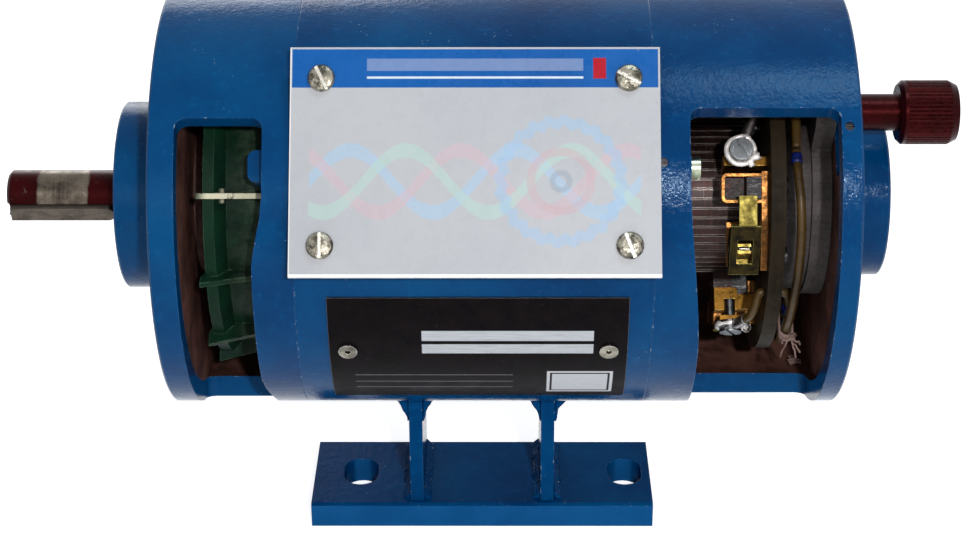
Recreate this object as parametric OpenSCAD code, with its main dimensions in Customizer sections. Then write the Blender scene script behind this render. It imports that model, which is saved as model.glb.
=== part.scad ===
// Cutaway repulsion motor for a teaching bench. A welded foot carries a three-part housing with
// two viewing windows. Inside are a wound stator, a wound rotor with a commutator and a fan, and
// a rocker that carries four short-circuited brushes and is shifted by a knurled knob.
// Millimetres. X runs along the motor axis and the shaft end points to -X. Z is up.
// The origin is the middle of the foot's underside. Angles called elevation are measured about
// the motor axis, from -Y (the window side) towards +Z.

/* [Housing] */
// Outer diameter of the housing
housing_d = 160; // [156:1:170]
// Wall thickness of the housing
housing_wall = 8; // [6:0.5:10]
// Length of the middle tube
tube_len = 128; // [124:1:136]
// Middle of the tube, measured from the middle of the foot
tube_offset = -2; // [-8:1:8]
// Height of the motor axis above the foot's underside
axis_h = 136; // [126:1:150]

/* [Drive-end shield] */
// Length of the drive-end shield without its hub
drive_shield_len = 51.2; // [50:0.1:58]
// Thickness of the drive-end wall
drive_wall = 9.6; // [8:0.1:11]
// Diameter of the drive-end hub
drive_hub_d = 72; // [64:1:80]
// Length of the drive-end hub outside the wall
drive_hub_len = 19.6; // [16:0.1:24]

/* [Brush-end shield] */
// Length of the brush-end shield without its hub
brush_shield_len = 73; // [72:0.5:80]
// Thickness of the brush-end wall
brush_wall = 4.5; // [3.5:0.1:6]
// Diameter of the brush-end hub
brush_hub_d = 62.5; // [56:0.5:68]
// Length of the brush-end hub outside the wall
brush_hub_len = 18.2; // [16:0.1:22]
// Outer diameter of the boss that the rocker turns on
boss_d = 52; // [50:0.5:54]

/* [Windows] */
// Width of the drive-end window along the axis
drive_window_w = 31; // [26:0.5:33]
// How far the drive-end window narrows half way down
drive_window_waist = 4.3; // [0:0.1:6]
// Elevation of the drive-end window's top edge, degrees
drive_window_top = 43.6; // [38:0.5:50]
// Elevation of the drive-end window's bottom edge, degrees
drive_window_bottom = -73; // [-78:1:-60]
// Width of the brush-end window along the axis
brush_window_w = 53.2; // [48:0.5:54]
// How much further in the lower left edge of the brush-end window starts
brush_window_lean = 4.9; // [0:0.1:6]
// Elevation of the brush-end window's top edge, degrees
brush_window_top = 46.3; // [40:0.5:52]
// Elevation of the brush-end window's bottom edge, degrees
brush_window_bottom = -77; // [-80:1:-64]
// Width of the rim left outside the brush-end window
brush_window_rim = 7.6; // [6:0.1:10]
// Corner radius of both windows
window_corner_r = 4; // [2:0.5:6]

/* [Foot] */
// Length of the foot plate
foot_len = 138; // [130:1:150]
// Depth of the foot plate, front to back
foot_depth = 50; // [46:1:60]
// Thickness of the foot plate
foot_t = 10.5; // [8:0.5:14]
// Width of each bolt slot
slot_w = 14; // [10:0.5:16]
// Length of each bolt slot, front to back
slot_len = 20; // [18:0.5:26]
// Distance from the foot's left end to the middle of the left bolt slot
slot_left_inset = 19; // [12:0.5:24]
// Distance from the foot's right end to the middle of the right bolt slot
slot_right_inset = 10.5; // [10:0.5:18]
// Thickness of each upright
upright_t = 5.3; // [4:0.1:8]
// Distance between the uprights' middles
upright_pitch = 52.4; // [46:0.2:56]
// Depth of each upright, front to back
upright_depth = 45; // [38:1:46]
// Reach of the weld that flares out under the housing
weld_flare = 6; // [3:0.5:9]
// Leg of the weld beads on the foot plate
weld_leg = 3.5; // [2:0.5:5]

/* [Sign board and nameplate] */
// Length of the sign board
sign_len = 130; // [120:1:136]
// Height of the sign board
sign_h = 81.8; // [74:0.2:88]
// Thickness of the sign board
sign_t = 2; // [1.5:0.1:4]
// Elevation that the sign board faces, degrees
sign_elevation = 33.6; // [26:0.2:40]
// Gap between the housing and the back of the sign board
sign_gap = 1; // [0.6:0.1:6]
// Distance between sign screws along the axis
sign_screw_dx = 108; // [100:0.5:114]
// Distance between sign screws across the axis
sign_screw_dt = 59.4; // [52:0.2:64]
// Diameter of the sign spacers
sign_spacer_d = 8; // [7:0.2:10]
// Diameter of the sign screws
sign_screw_d = 4; // [3:0.1:5]
// Diameter of the sign screws' heads
sign_screw_head_d = 9.6; // [8.4:0.1:10]
// Length of the nameplate
nameplate_len = 108; // [98:1:112]
// Height of the nameplate along the curve
nameplate_h = 59; // [50:1:62]
// Thickness of the nameplate
nameplate_t = 0.6; // [0.4:0.1:1.2]
// Elevation of the nameplate's middle, degrees
nameplate_elevation = -24.3; // [-28:0.1:-22]
// Distance from the nameplate's ends to its rivets
rivet_inset = 6.75; // [4:0.25:10]
// Diameter of the nameplate rivets' heads
rivet_head_d = 6.8; // [5:0.1:8]

/* [Shaft] */
// Diameter of the shaft end
shaft_d = 19; // [18:0.5:19.5]
// Length of the shaft end outside the hub
shaft_out = 45.7; // [40:0.1:55]
// Width of the key
key_w = 6; // [5:0.5:7]
// Height of the key
key_h = 6; // [4:0.5:7]
// Elevation of the key at rest, degrees
key_elevation = -19; // [-40:1:0]
// Distance from the shaft's tip to the key
key_inset = 1.6; // [1:0.1:4]

/* [Rotor and stator] */
// Outer diameter of the rotor core
rotor_d = 91.2; // [88:0.2:91.4]
// Gap between the rotor and the stator
air_gap = 0.4; // [0.3:0.1:1]
// Length of both cores
core_len = 86; // [76:1:90]
// Number of stator slots
stator_slots = 24; // [18:2:30]
// Number of rotor slots
rotor_slots = 22; // [16:2:26]
// Overhang of the winding ends beyond the cores
winding_overhang = 14; // [10:0.5:16]
// Diameter of the commutator
commutator_d = 60.6; // [58:0.2:61]
// Length of the commutator's running face
commutator_len = 32; // [30:0.5:33]
// Number of commutator bars
commutator_bars = 52; // [40:1:56]
// Gap between commutator bars
bar_gap = 0.6; // [0.5:0.1:1]
// Gap between the fan and the bore of the housing
fan_gap = 7; // [6:0.5:11]
// How much less the fan's radius is at its inner end
fan_taper = 6; // [5.5:0.5:10]
// Distance from the middle tube to the fan
fan_seam_gap = 12; // [11.5:0.1:16]
// Number of fan blades
fan_blades = 12; // [8:1:16]
// Thickness of the fan blades
fan_blade_t = 2; // [1.5:0.1:3]

/* [Rocker and brushes] */
// Outer diameter of the insulating ring
ring_d = 119; // [117:0.5:121]
// Thickness of the insulating ring
ring_t = 5.4; // [4.5:0.1:6]
// Outer diameter of the rocker hub
rocker_hub_d = 77; // [75:0.5:80]
// Thickness of the rocker hub's flange
rocker_flange_t = 7.4; // [6:0.1:8]
// Elevation of the first brush at rest, degrees
first_brush_elevation = 26.5; // [20:0.5:32]
// Size of the carbon brush across the commutator
brush_w = 7.8; // [7.2:0.1:8.6]
// Size of the carbon brush along the commutator
brush_len = 12.8; // [12:0.1:13.4]
// Height of the carbon brush
brush_h = 21.5; // [20.5:0.1:22]
// Thickness of the brass sheet
brass_t = 1.2; // [0.8:0.1:1.3]
// Diameter of the jumper leads
lead_d = 3.4; // [2.8:0.1:3.6]

/* [Knob] */
// Diameter of the knob's head
knob_d = 23.6; // [20:0.2:26]
// Length of the knob's head
knob_len = 21.4; // [16:0.2:26]
// Diameter of the knob's stem
knob_stem_d = 13.6; // [11:0.2:15]
// Length of the knob's stem
knob_stem_len = 16.8; // [16.8:0.2:20]
// Distance of the knob from the motor axis
knob_r = 50; // [49:0.5:53]
// Elevation of the knob at rest, degrees
knob_elevation = 61; // [56:1:66]
// Diameter of the knob's stud
stud_d = 6; // [5:0.5:6.5]
// Number of grooves in the knob's knurling
knurl_count = 48; // [36:1:60]
// How far the rocker turns to each side, degrees
rocker_swing = 25; // [15:1:30]

/* [Hidden] */

// Colours
paint_blue = [0.09, 0.31, 0.52];
bare_steel = [0.62, 0.62, 0.60];
zinc = [0.78, 0.78, 0.76];
brass = [0.72, 0.58, 0.26];
copper = [0.50, 0.30, 0.22];
red_paint = [0.36, 0.05, 0.07];
cast_grey = [0.40, 0.38, 0.40];
insulation = [0.17, 0.16, 0.11];
black_rubber = [0.06, 0.06, 0.06];
carbon = [0.22, 0.22, 0.24];

// Fineness of round shapes, the full turn and small working values
fine = 96;
round_fn = 48;
full_turn = 360;
brush_count = 4;
set_pitch = full_turn / brush_count;
over = 1;

// Fits and clearances, radial
running_fit = 0.05;
press_gap = 0.02;
hole_gap = 0.1;
free_gap = 0.3;

// Stations along the axis
housing_r = housing_d / 2;
bore_r = housing_r - housing_wall;
drive_seam_x = tube_offset - tube_len / 2;
brush_seam_x = tube_offset + tube_len / 2;
drive_face_x = drive_seam_x - drive_shield_len;
drive_wall_x = drive_face_x + drive_wall;
drive_hub_x = drive_face_x - drive_hub_len;
brush_face_x = brush_seam_x + brush_shield_len;
brush_wall_x = brush_face_x - brush_wall;
brush_hub_x = brush_face_x + brush_hub_len;
shaft_tip_x = drive_hub_x - shaft_out;

// Tie bolts and their lugs
tie_elevation = 32;
tie_count = 4;
tie_inset = 13.5;
tie_r = housing_r - tie_inset;
tie_bolt_d = 5;
tie_head_d = 8.2;
tie_head_t = 3.4;
lug_w = 11.5;
lug_depth = 11;
lug_reach = 16.4;
brush_lug_reach = 13.2;
lug_corner_r = 3;
tie_thread_len = 14;

// Small screws that lock the shields
grub_d = 3.2;
grub_len = 6;
grub_sink = 0.8;
grub_tip_gap = 0.2;
grub_count = 3;
seam_grub_inset = 2.7;
seam_grub_x = brush_seam_x + seam_grub_inset;
rim_grub_inset = 4.7;
rim_grub_x = brush_face_x - rim_grub_inset;
rim_grub_elevation = 41.4;

// Shaft radii and bearings: inner radius, outer radius, width
shaft_r = shaft_d / 2;
drive_journal_r = shaft_r + 0.5;
brush_journal_r = shaft_r - 1;
fan_seat_r = drive_journal_r + 2;
core_seat_r = fan_seat_r + 1;
drive_bearing = [drive_journal_r, 23.5, 14];
brush_bearing = [brush_journal_r, 20, 12];
race_t = 3.1;
ball_count = 8;
drive_bearing_inset = 10;
brush_bearing_inset = 7;
drive_bearing_x = drive_hub_x + drive_bearing_inset;
brush_bearing_x = brush_face_x - brush_bearing_inset;
seal_len = 7;
seal_r = 14;
boss_len = 19.6;
boss_lip_r = 17;
boss_r = boss_d / 2;
cap_t = 4;
wave_t = 2;
clip_t = 1.2;
clip_depth = 1;
cover_t = 3;

// Cores, windings and the parts on the shaft
core_shift = 3;
core_mid_x = tube_offset - core_shift;
core_x0 = core_mid_x - core_len / 2;
core_x1 = core_mid_x + core_len / 2;
rotor_r = rotor_d / 2;
stator_r = rotor_r + air_gap;
stator_slot_w = 5;
slot_web = 3.7;
stator_slot_depth = tie_r - tie_bolt_d / 2 - free_gap - slot_web - stator_r;
rotor_slot_w = 4.4;
rotor_slot_depth = 13;
slot_mouth = 1.5;
coil_gap = 0.2;
commutator_inset = 34;
commutator_x1 = brush_face_x - commutator_inset;
commutator_x0 = commutator_x1 - commutator_len;
commutator_r = commutator_d / 2;
riser_h = 5;
riser_r = commutator_r + riser_h;
riser_t = 3;
bar_depth = 7;
undercut = 0.8;
commutator_hub_r = commutator_r - bar_depth;
fan_wall_gap = 5.8;
fan_x0 = drive_wall_x + fan_wall_gap;
fan_x1 = drive_seam_x - fan_seam_gap;
fan_r = bore_r - fan_gap;
fan_small_r = fan_r - fan_taper;
fan_hub_r = 20;
fan_disc_t = 2;
fan_drum_r = bore_r - 16;
fan_drum_t = 2;
fan_rim_r = bore_r - 11.5;
fan_rim_len = 4;
fan_slope_len = 4;
fan_rim_inset = 1.8;
fan_rim_x0 = fan_x0 + fan_rim_inset;
fan_blade_elevation = 23.4;
key_depth = 3.5;
key_top_r = sqrt(shaft_r * shaft_r - key_w * key_w / 4);
key_hub_gap = 4;
key_len = shaft_out - key_inset - key_hub_gap;
key_side_gap = 0.02;

// Rocker, from the wall inwards
flange_x1 = brush_wall_x - free_gap;
flange_x0 = flange_x1 - rocker_flange_t;
ring_inset = 29.9;
ring_x0 = brush_face_x - ring_inset;
ring_x1 = ring_x0 + ring_t;
boss_x0 = brush_wall_x - boss_len;
ring_r = ring_d / 2;
rocker_r = rocker_hub_d / 2;
sleeve_step = 2;
sleeve_r = rocker_r - sleeve_step;
ring_lap = 5.5;
ring_bore_r = sleeve_r - ring_lap;
ear_r = 8;
clip_inset = 1.3;
clip_groove_x = boss_x0 + clip_inset;
ring_screw_inset = 2.8;
ring_screw_r = sleeve_r - ring_screw_inset;
ring_screw_d = 3;
ring_screw_head_d = 5;
ring_screw_head_t = 2.2;
ring_screw_len = 13;

// Brush set, in its own frame: x along the axis, r outwards, t along the turn
holder_plate_t = 2.5;
holder_x1 = ring_x0;
plate_x0 = holder_x1 - holder_plate_t;
brush_gap = 0.3;
brush_x1 = plate_x0 - brush_gap;
brush_x0 = brush_x1 - brush_len;
box_x0 = brush_x0 - brush_gap - brass_t;
box_t = brush_w / 2 + brush_gap;
strap_h = 8;
strap_top_gap = 2;
strap_corner_r = brass_t + 0.7;
strap_corner_steps = 6;
strap_sink = 0.5;
brush_seat_gap = 0.2;
brush_step_len = 7.4;
brush_step_h = 6;
brush_r0 = commutator_r + brush_seat_gap;
brush_top_r = brush_r0 + brush_h;
brush_step_x = brush_x0 + brush_step_len;
brush_step_r = brush_top_r - brush_step_h;
box_r1 = brush_top_r - strap_top_gap;
box_r0 = box_r1 - strap_h;
plate_high_t = box_t + brass_t + 0.8;
plate_outline = [[33.5, -28], [46, -30], [box_r1, -12], [box_r1, plate_high_t], [33.5, plate_high_t]];
web_r = 34;
web_t0 = -28;
web_t1 = -12;

// Pressure finger in the same frame
finger_gap = 0.3;
finger_t = 1.2;
finger_r0 = brush_top_r + finger_gap;
finger_r1 = finger_r0 + finger_t;
finger_head_lead = 2.8;
finger_head_w = 6.5;
finger_head_x0 = brush_step_x - finger_head_lead;
finger_head_x1 = finger_head_x0 + finger_head_w;
finger_tip_t = -2.9;
finger_bend_t = -14;
finger_end_t = -31.5;
finger_drop = 12;
finger_side_inset = 1.8;
finger_x0 = brush_x0 + finger_side_inset;
finger_x1 = brush_x1;
pin_r = 1.1;
pin_drop = 10.8;
pin_at_r = finger_r1 - pin_drop;
pin_at_t = -22;
post_inset = 3;
post_x0 = finger_x0 + post_inset;
post_x1 = finger_x1 - post_inset;
post_half_t = 1.8;
cutout_t0 = -27.5;
cutout_t1 = -19;
cutout_side = 0.3;
spring_r = 2.4;
spring_gap = 0.3;

// Terminal in its own frame, turned from the brush by terminal_turn
terminal_turn = 15;
terminal_inset = 7.6;
terminal_x = plate_x0 - terminal_inset;
block_low_t = -3.6;
block_high_t = 0.4;
block_reach_x = 5.8;
block_back_x = 3;
block_r0 = 37.5;
block_r1 = 46.5;
tab_high_t = 0;
tab_r0 = 40;
tab_r1 = 46;
thread_gap = 2.8;
thread_r0 = block_r0 + 5;
terminal_plate_t = 2;
terminal_plate_half = 4.3;
terminal_plate_half_t = 4;
lug_t = 1;
lug_ring_r = 6;
lug_barrel_r = 2;
lug_barrel_start = 5.6;
lug_barrel_end = 13.5;
lug_tilt = 20;
terminal_screw_r = 2;
terminal_head_r = 4.2;
terminal_head_t = 3;
terminal_plate_r0 = block_r1 + thread_gap;
lug_r0 = terminal_plate_r0 + terminal_plate_t;
lug_r1 = lug_r0 + lug_t;
barrel_lift = 1.7;
barrel_r = lug_r0 + barrel_lift;
holder_screw_r = 2;
holder_screw_head_r = 3.5;
holder_screw_head_t = 2.4;
holder_screw_at = [[43.5, 1], [40, -24.5]];

// Jumper lead from each terminal through the ring and behind it to the next, as points
// [turn from the terminal in degrees, distance from the motor axis, x past the ring's front face]
lead_route = [
    [13.9, 54.5, -5.4], [17.5, 55, -4.2], [22, 54.2, -3], [26, 52.4, -2], [27.5, 51.5, -0.6],
    [27.5, 51.5, 6.6], [26, 51.6, 8.8], [19, 51.4, 9.9], [8, 51.3, 10], [-2, 52, 10.1], [-10, 54.3, 10.3],
    [-20, 56.5, 10.9], [-33, 57, 11.4], [-46, 57, 11.2], [-59, 57, 10.6], [-72, 56.8, 10.1],
    [-82, 56.6, 9.8], [-90, 56.5, 9.6]
];
lead_sides = 8;
lead_hole_turn = 27.5;
lead_hole_at_r = 51.5;
lead_hole_gap = 0.4;
lash_count = 3;
lash_turn = -84;
lash_low_r = 51.3;
lash_high_r = 56.6;
lash_offset = 9.9;
lash_x = ring_x0 + lash_offset;
lash_wall = 1.3;
lash_gap = 0.25;
lash_len = 5;

// Knob
washer_t = 1.3;
washer_r = 8;
washer_gap = 0.2;
knob_x0 = brush_face_x + washer_gap + washer_t;
knob_head_x = knob_x0 + knob_stem_len;
stud_r = stud_d / 2;
stud_inset = 0.7;
stud_reach = 13;
stud_x0 = flange_x0 + stud_inset;
stud_x1 = knob_x0 + stud_reach;
slot_side = 1;
slot_side_steps = 16;
slot_end_lead = 15;
slot_end_steps = 10;
knob_chamfer = 1.5;
knurl_depth = 0.5;
knurl_smooth = 1.2;

// Foot
slot_left_x = slot_left_inset - foot_len / 2;
slot_right_x = foot_len / 2 - slot_right_inset;
foot_top = foot_t - axis_h;
seat_gap = 0.03;
upright_top = -sqrt(pow(housing_r, 2) - pow(upright_depth / 2, 2));
weld_drop = 13;

// Sign board in its own frame, facing sign_elevation
sign_r0 = housing_r + sign_gap;
sign_mid_t = -2.5;
sign_mid_x = -1.5;
sign_screw_reach = 11;
sign_slot_turns = [[90, 64], [69, 29]];
sign_screw_tip = housing_r - sign_screw_reach;
sign_head_h = 2.6;
slot_cut_w = 1.2;
slot_cut_depth = 1.1;
rivet_dx = nameplate_len - 2 * rivet_inset;
rivet_x = -0.6;
rivet_elevation = -20.5;
rivet_shank_r = 1.6;
rivet_head_t = 0.9;
rivet_len = 5;
grommet_r = 6;
grommet_bore_r = 3;
grommet_flange_r = 8.5;
grommet_flange_t = 1.8;
grommet_elevation = 192;
grommet_x = (core_x1 + brush_seam_x) / 2;

// Frames and basic shapes
module on_axis() {
    translate([0, 0, axis_h]) children();
}

module at_elevation(a) {
    rotate([-a, 0, 0]) children();
}

// Solid of revolution about the motor axis, its outline given as [radius, x]
module turned(outline) {
    rotate([0, 90, 0]) rotate_extrude($fn = fine) polygon(outline);
}

module rod_x(x0, x1, r) {
    translate([x0, 0, 0]) rotate([0, 90, 0]) cylinder(h = x1 - x0, r = r, $fn = round_fn);
}

module tube_x(x0, x1, r0, r1) {
    turned([[r0, x0], [r1, x0], [r1, x1], [r0, x1]]);
}

// The space that the housing fills, which pieces seated on it are cut to
module housing_space(x0, x1) {
    translate([x0, 0, 0]) rotate([0, 90, 0]) cylinder(h = x1 - x0, r = housing_r + seat_gap, $fn = 4 * fine);
}

// In a set's own frame: a block, a rod pointing outwards and a flat shape drawn in [r, t]
module block(x0, x1, r0, r1, t0, t1) {
    translate([x0, -r1, t0]) cube([x1 - x0, r1 - r0, t1 - t0]);
}

module rod_out(x, t, r0, r1, radius) {
    translate([x, -r0, t]) rotate([90, 0, 0]) cylinder(h = r1 - r0, r = radius, $fn = round_fn);
}

module slab(x0, x1) {
    translate([x1, 0, 0]) rotate([90, 0, -90]) linear_extrude(x1 - x0) children();
}

// Part of a tube between two elevations
module sector(x0, x1, r0, r1, low, high) {
    rotate([0, 90, 0])
        rotate([0, 0, -(90 + high)])
            rotate_extrude(angle = high - low, $fn = fine)
                translate([r0, x0]) square([r1 - r0, x1 - x0]);
}

module each_set() {
    for (k = [0:brush_count - 1]) at_elevation(first_brush_elevation - set_pitch * k) children();
}

module each_terminal() {
    each_set() at_elevation(terminal_turn) children();
}

// A window through the housing wall. Stations run from the top edge to the bottom edge; near the
// ends they bunch up and draw in, which rounds the corners.
corner_steps = 4;
window_step = 6;
window_reach = 8;
window_out_r = housing_r + window_reach;
window_in_r = bore_r - 0.1;

function arc_degrees(s) = s / housing_r * 180 / PI;
function corner_runs() = [for (k = [0:corner_steps]) window_corner_r * (1 - cos(90 * k / corner_steps))];
function corner_draw(s) =
    s >= window_corner_r ? 0 : window_corner_r - sqrt(pow(window_corner_r, 2) - pow(window_corner_r - s, 2));
function window_angles(top, bottom) =
    let (runs = corner_runs(), inner = [top, bottom] + arc_degrees(window_corner_r) * [-1, 1],
         count = ceil((inner[0] - inner[1]) / window_step))
    concat([for (s = runs) top - arc_degrees(s)],
           [for (k = [1:count - 1]) inner[0] + (inner[1] - inner[0]) * k / count],
           [for (k = [0:corner_steps]) bottom + arc_degrees(runs[corner_steps - k])]);
function edge_distance(a, top, bottom) = min(top - a, a - bottom) * PI / 180 * housing_r;
function out_point(x, r, a) = [x, -r * cos(a), r * sin(a)];
function smooth(u) = let (v = max(0, min(1, u))) v * v * (3 - 2 * v);

// edges is a list with one [left x, right x] for each angle
module window_cutter(angles, edges) {
    n = len(angles);
    points = [for (i = [0:n - 1])
        each [out_point(edges[i][0], window_in_r, angles[i]), out_point(edges[i][0], window_out_r, angles[i]),
              out_point(edges[i][1], window_out_r, angles[i]),
              out_point(edges[i][1], window_in_r, angles[i])]];
    sides = [for (i = [0:n - 2], j = [0:3])
        let (a = 4 * i + j, b = 4 * i + (j + 1) % 4)
        each [[a, b, b + 4], [a, b + 4, a + 4]]];
    last = 4 * (n - 1);
    ends = [[2, 1, 0], [3, 2, 0], [last, last + 1, last + 2], [last, last + 2, last + 3]];
    polyhedron(points = points, faces = concat(sides, ends));
}

module drive_window() {
    angles = window_angles(drive_window_top, drive_window_bottom);
    waist_top = 23;
    waist_run = 20;
    waist_low = -34;
    waist_back = 3;
    edges = [for (a = angles)
        let (draw = corner_draw(edge_distance(a, drive_window_top, drive_window_bottom)),
             inwards = drive_window_waist * smooth((waist_top - a) / waist_run),
             back = waist_back * smooth((waist_low - a) / waist_run))
        [drive_wall_x + draw, drive_wall_x + drive_window_w - inwards + min(back, inwards) - draw]];
    window_cutter(angles, edges);
}

module brush_window() {
    angles = window_angles(brush_window_top, brush_window_bottom);
    right = brush_face_x - brush_window_rim;
    lean_top = 30;
    lean_run = 55;
    edges = [for (a = angles)
        let (draw = corner_draw(edge_distance(a, brush_window_top, brush_window_bottom)),
             lean = brush_window_lean * smooth((lean_top - a) / lean_run))
        [right - brush_window_w + lean + draw, right - draw]];
    window_cutter(angles, edges);
}

// Housing
module tie_lug(x0, reach) {
    width = lug_w - 2 * lug_corner_r;
    step = reach > 0 ? 1 : -1;
    end_x = x0 + reach - step * lug_corner_r;
    rotate([90, 0, 0]) translate([0, 0, bore_r - lug_depth]) linear_extrude(lug_depth + over) {
        translate([min(x0, end_x), -lug_w / 2]) square([abs(end_x - x0), lug_w]);
        translate([min(x0, x0 + reach), -width / 2]) square([abs(reach), width]);
        for (side = [-1, 1]) translate([end_x, side * width / 2]) circle(r = lug_corner_r, $fn = round_fn);
    }
}

module each_tie() {
    for (k = [0:tie_count - 1]) at_elevation(tie_elevation + k * full_turn / tie_count) children();
}

module at_tie_axis() {
    each_tie() translate([0, -tie_r, 0]) children();
}

module each_seam_grub() {
    for (k = [0:grub_count - 1]) at_elevation(tie_elevation + k * full_turn / grub_count) children();
}

module each_rim_grub() {
    for (k = [0:grub_count - 1]) at_elevation(rim_grub_elevation + k * full_turn / grub_count) children();
}

module at_sign_corners() {
    at_elevation(sign_elevation)
        for (i = [0, 1], j = [0, 1])
            translate([sign_mid_x + (i - 0.5) * sign_screw_dx, 0, sign_mid_t + (j - 0.5) * sign_screw_dt])
                rotate([0, sign_slot_turns[i][j], 0]) children();
}

module at_rivets() {
    at_elevation(rivet_elevation)
        for (sx = [-1, 1]) translate([rivet_x + sx * rivet_dx / 2, 0, 0]) children();
}

module centre_frame() {
    color(paint_blue) on_axis() difference() {
        tube_x(drive_seam_x, brush_seam_x, bore_r, housing_r);
        at_sign_corners() rod_out(0, 0, sign_screw_tip - 0.5, sign_r0, sign_screw_d / 2 + running_fit);
        at_rivets() rod_out(0, 0, housing_r - rivet_len - 0.5, housing_r + over, rivet_shank_r + running_fit);
        at_elevation(grommet_elevation)
            rod_out(grommet_x, 0, bore_r - over, housing_r + over, grommet_r + hole_gap);
    }
}

module drive_end_shield() {
    chamfer = 0.8;
    color(paint_blue) on_axis() difference() {
        union() {
            turned([
                [bore_r, drive_seam_x], [housing_r, drive_seam_x],
                [housing_r, drive_face_x + chamfer], [housing_r - chamfer, drive_face_x],
                [drive_hub_d / 2, drive_face_x],
                [drive_hub_d / 2, drive_hub_x + chamfer], [drive_hub_d / 2 - chamfer, drive_hub_x],
                [seal_r, drive_hub_x], [seal_r, drive_bearing_x],
                [drive_bearing[1], drive_bearing_x], [drive_bearing[1], drive_wall_x],
                [bore_r, drive_wall_x]
            ]);
            each_tie() tie_lug(drive_seam_x, -lug_reach);
        }
        drive_window();
        at_tie_axis() rod_x(drive_seam_x - tie_thread_len - 0.5, drive_seam_x + over,
                            tie_bolt_d / 2 + running_fit);
    }
}

// Curved slot for the knob's stud, as one outline: outer side, end, inner side, end
function arc_points(middle, r, from, to, steps) =
    [for (i = [0:steps]) let (a = from + (to - from) * i / steps) middle + r * [cos(a), sin(a)]];
function knob_slot_outline(half) =
    let (low = knob_elevation - rocker_swing, high = knob_elevation + rocker_swing, turn = full_turn / 2)
    concat(arc_points([0, 0], knob_r + half, low, high, slot_side_steps),
           arc_points(knob_r * [cos(high), sin(high)], half, high + slot_end_lead,
                      high + turn - slot_end_lead,
                      slot_end_steps),
           arc_points([0, 0], knob_r - half, high, low, slot_side_steps),
           arc_points(knob_r * [cos(low), sin(low)], half, low + turn + slot_end_lead,
                      low + full_turn - slot_end_lead, slot_end_steps));

module knob_slot() {
    slab(brush_wall_x - over, brush_face_x + over) polygon(knob_slot_outline(stud_r + slot_side));
}

module grub_hole(x) {
    rod_out(x, 0, housing_r - grub_len - grub_sink - grub_tip_gap, housing_r + over,
            grub_d / 2 + running_fit);
}

module brush_end_shield() {
    chamfer = 0.8;
    color(paint_blue) on_axis() difference() {
        union() {
            turned([
                [bore_r, brush_seam_x], [housing_r, brush_seam_x],
                [housing_r, brush_face_x - chamfer], [housing_r - chamfer, brush_face_x],
                [bore_r, brush_face_x]
            ]);
            each_tie() tie_lug(brush_seam_x, brush_lug_reach);
        }
        brush_window();
        at_tie_axis() rod_x(brush_seam_x - over, brush_seam_x + brush_lug_reach + over,
                            tie_bolt_d / 2 + hole_gap);
        each_seam_grub() grub_hole(seam_grub_x);
        each_rim_grub() grub_hole(rim_grub_x);
    }
}

module brush_end_wall() {
    chamfer = 0.8;
    disc_r = bore_r - press_gap;
    color(paint_blue) on_axis() difference() {
        turned([
            [disc_r, brush_face_x], [brush_hub_d / 2, brush_face_x],
            [brush_hub_d / 2, brush_hub_x - chamfer], [brush_hub_d / 2 - chamfer, brush_hub_x],
            [brush_bearing[1], brush_hub_x], [brush_bearing[1], brush_bearing_x],
            [boss_lip_r, brush_bearing_x], [boss_lip_r, boss_x0],
            [boss_r, boss_x0], [boss_r, clip_groove_x],
            [boss_r - clip_depth, clip_groove_x], [boss_r - clip_depth, clip_groove_x + clip_t],
            [boss_r, clip_groove_x + clip_t], [boss_r, brush_wall_x],
            [disc_r, brush_wall_x]
        ]);
        knob_slot();
    }
}

module tie_bolts() {
    head_x = brush_seam_x + brush_lug_reach;
    color(zinc) on_axis() at_tie_axis() difference() {
        union() {
            rod_x(drive_seam_x - tie_thread_len, head_x, tie_bolt_d / 2);
            rod_x(head_x, head_x + tie_head_t, tie_head_d / 2);
        }
        translate([head_x + tie_head_t - slot_cut_depth, -slot_cut_w / 2, -tie_head_d])
            cube([slot_cut_depth + over, slot_cut_w, 2 * tie_head_d]);
    }
}

module grub_screw(x) {
    top = housing_r - grub_sink;
    difference() {
        rod_out(x, 0, top - grub_len, top, grub_d / 2);
        translate([x - grub_d, -top - over, -0.3]) cube([2 * grub_d, over + slot_cut_depth, 0.6]);
    }
}

module grub_screws() {
    color(zinc) on_axis() {
        each_seam_grub() grub_screw(seam_grub_x);
        each_rim_grub() grub_screw(rim_grub_x);
    }
}

module lead_grommet() {
    outer_seat = housing_r + seat_gap;
    inner_seat = sqrt(pow(bore_r, 2) - pow(grommet_flange_r, 2)) - seat_gap;
    color(black_rubber) on_axis() at_elevation(grommet_elevation) difference() {
        union() {
            rod_out(grommet_x, 0, inner_seat - grommet_flange_t, outer_seat + grommet_flange_t, grommet_r);
            rod_out(grommet_x, 0, outer_seat, outer_seat + grommet_flange_t, grommet_flange_r);
            rod_out(grommet_x, 0, inner_seat - grommet_flange_t, inner_seat, grommet_flange_r);
        }
        rod_out(grommet_x, 0, bore_r / 2, housing_r + 2 * grommet_flange_t, grommet_bore_r);
    }
}

// Foot
module foot_slot(x) {
    reach = (slot_len - slot_w) / 2;
    translate([x, 0, -over]) linear_extrude(foot_t + 2 * over) {
        square([slot_w, 2 * reach], center = true);
        for (side = [-1, 1]) translate([0, side * reach]) circle(d = slot_w, $fn = round_fn);
    }
}

module foot_plate() {
    bevel = 1;
    color(paint_blue) difference() {
        rotate([90, 0, 90]) translate([0, 0, -foot_len / 2]) linear_extrude(foot_len)
            polygon([
                [-foot_depth / 2, 0], [foot_depth / 2, 0],
                [foot_depth / 2, foot_t - bevel], [foot_depth / 2 - bevel, foot_t],
                [-foot_depth / 2 + bevel, foot_t], [-foot_depth / 2, foot_t - bevel]
            ]);
        foot_slot(slot_left_x);
        foot_slot(slot_right_x);
    }
}

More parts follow.
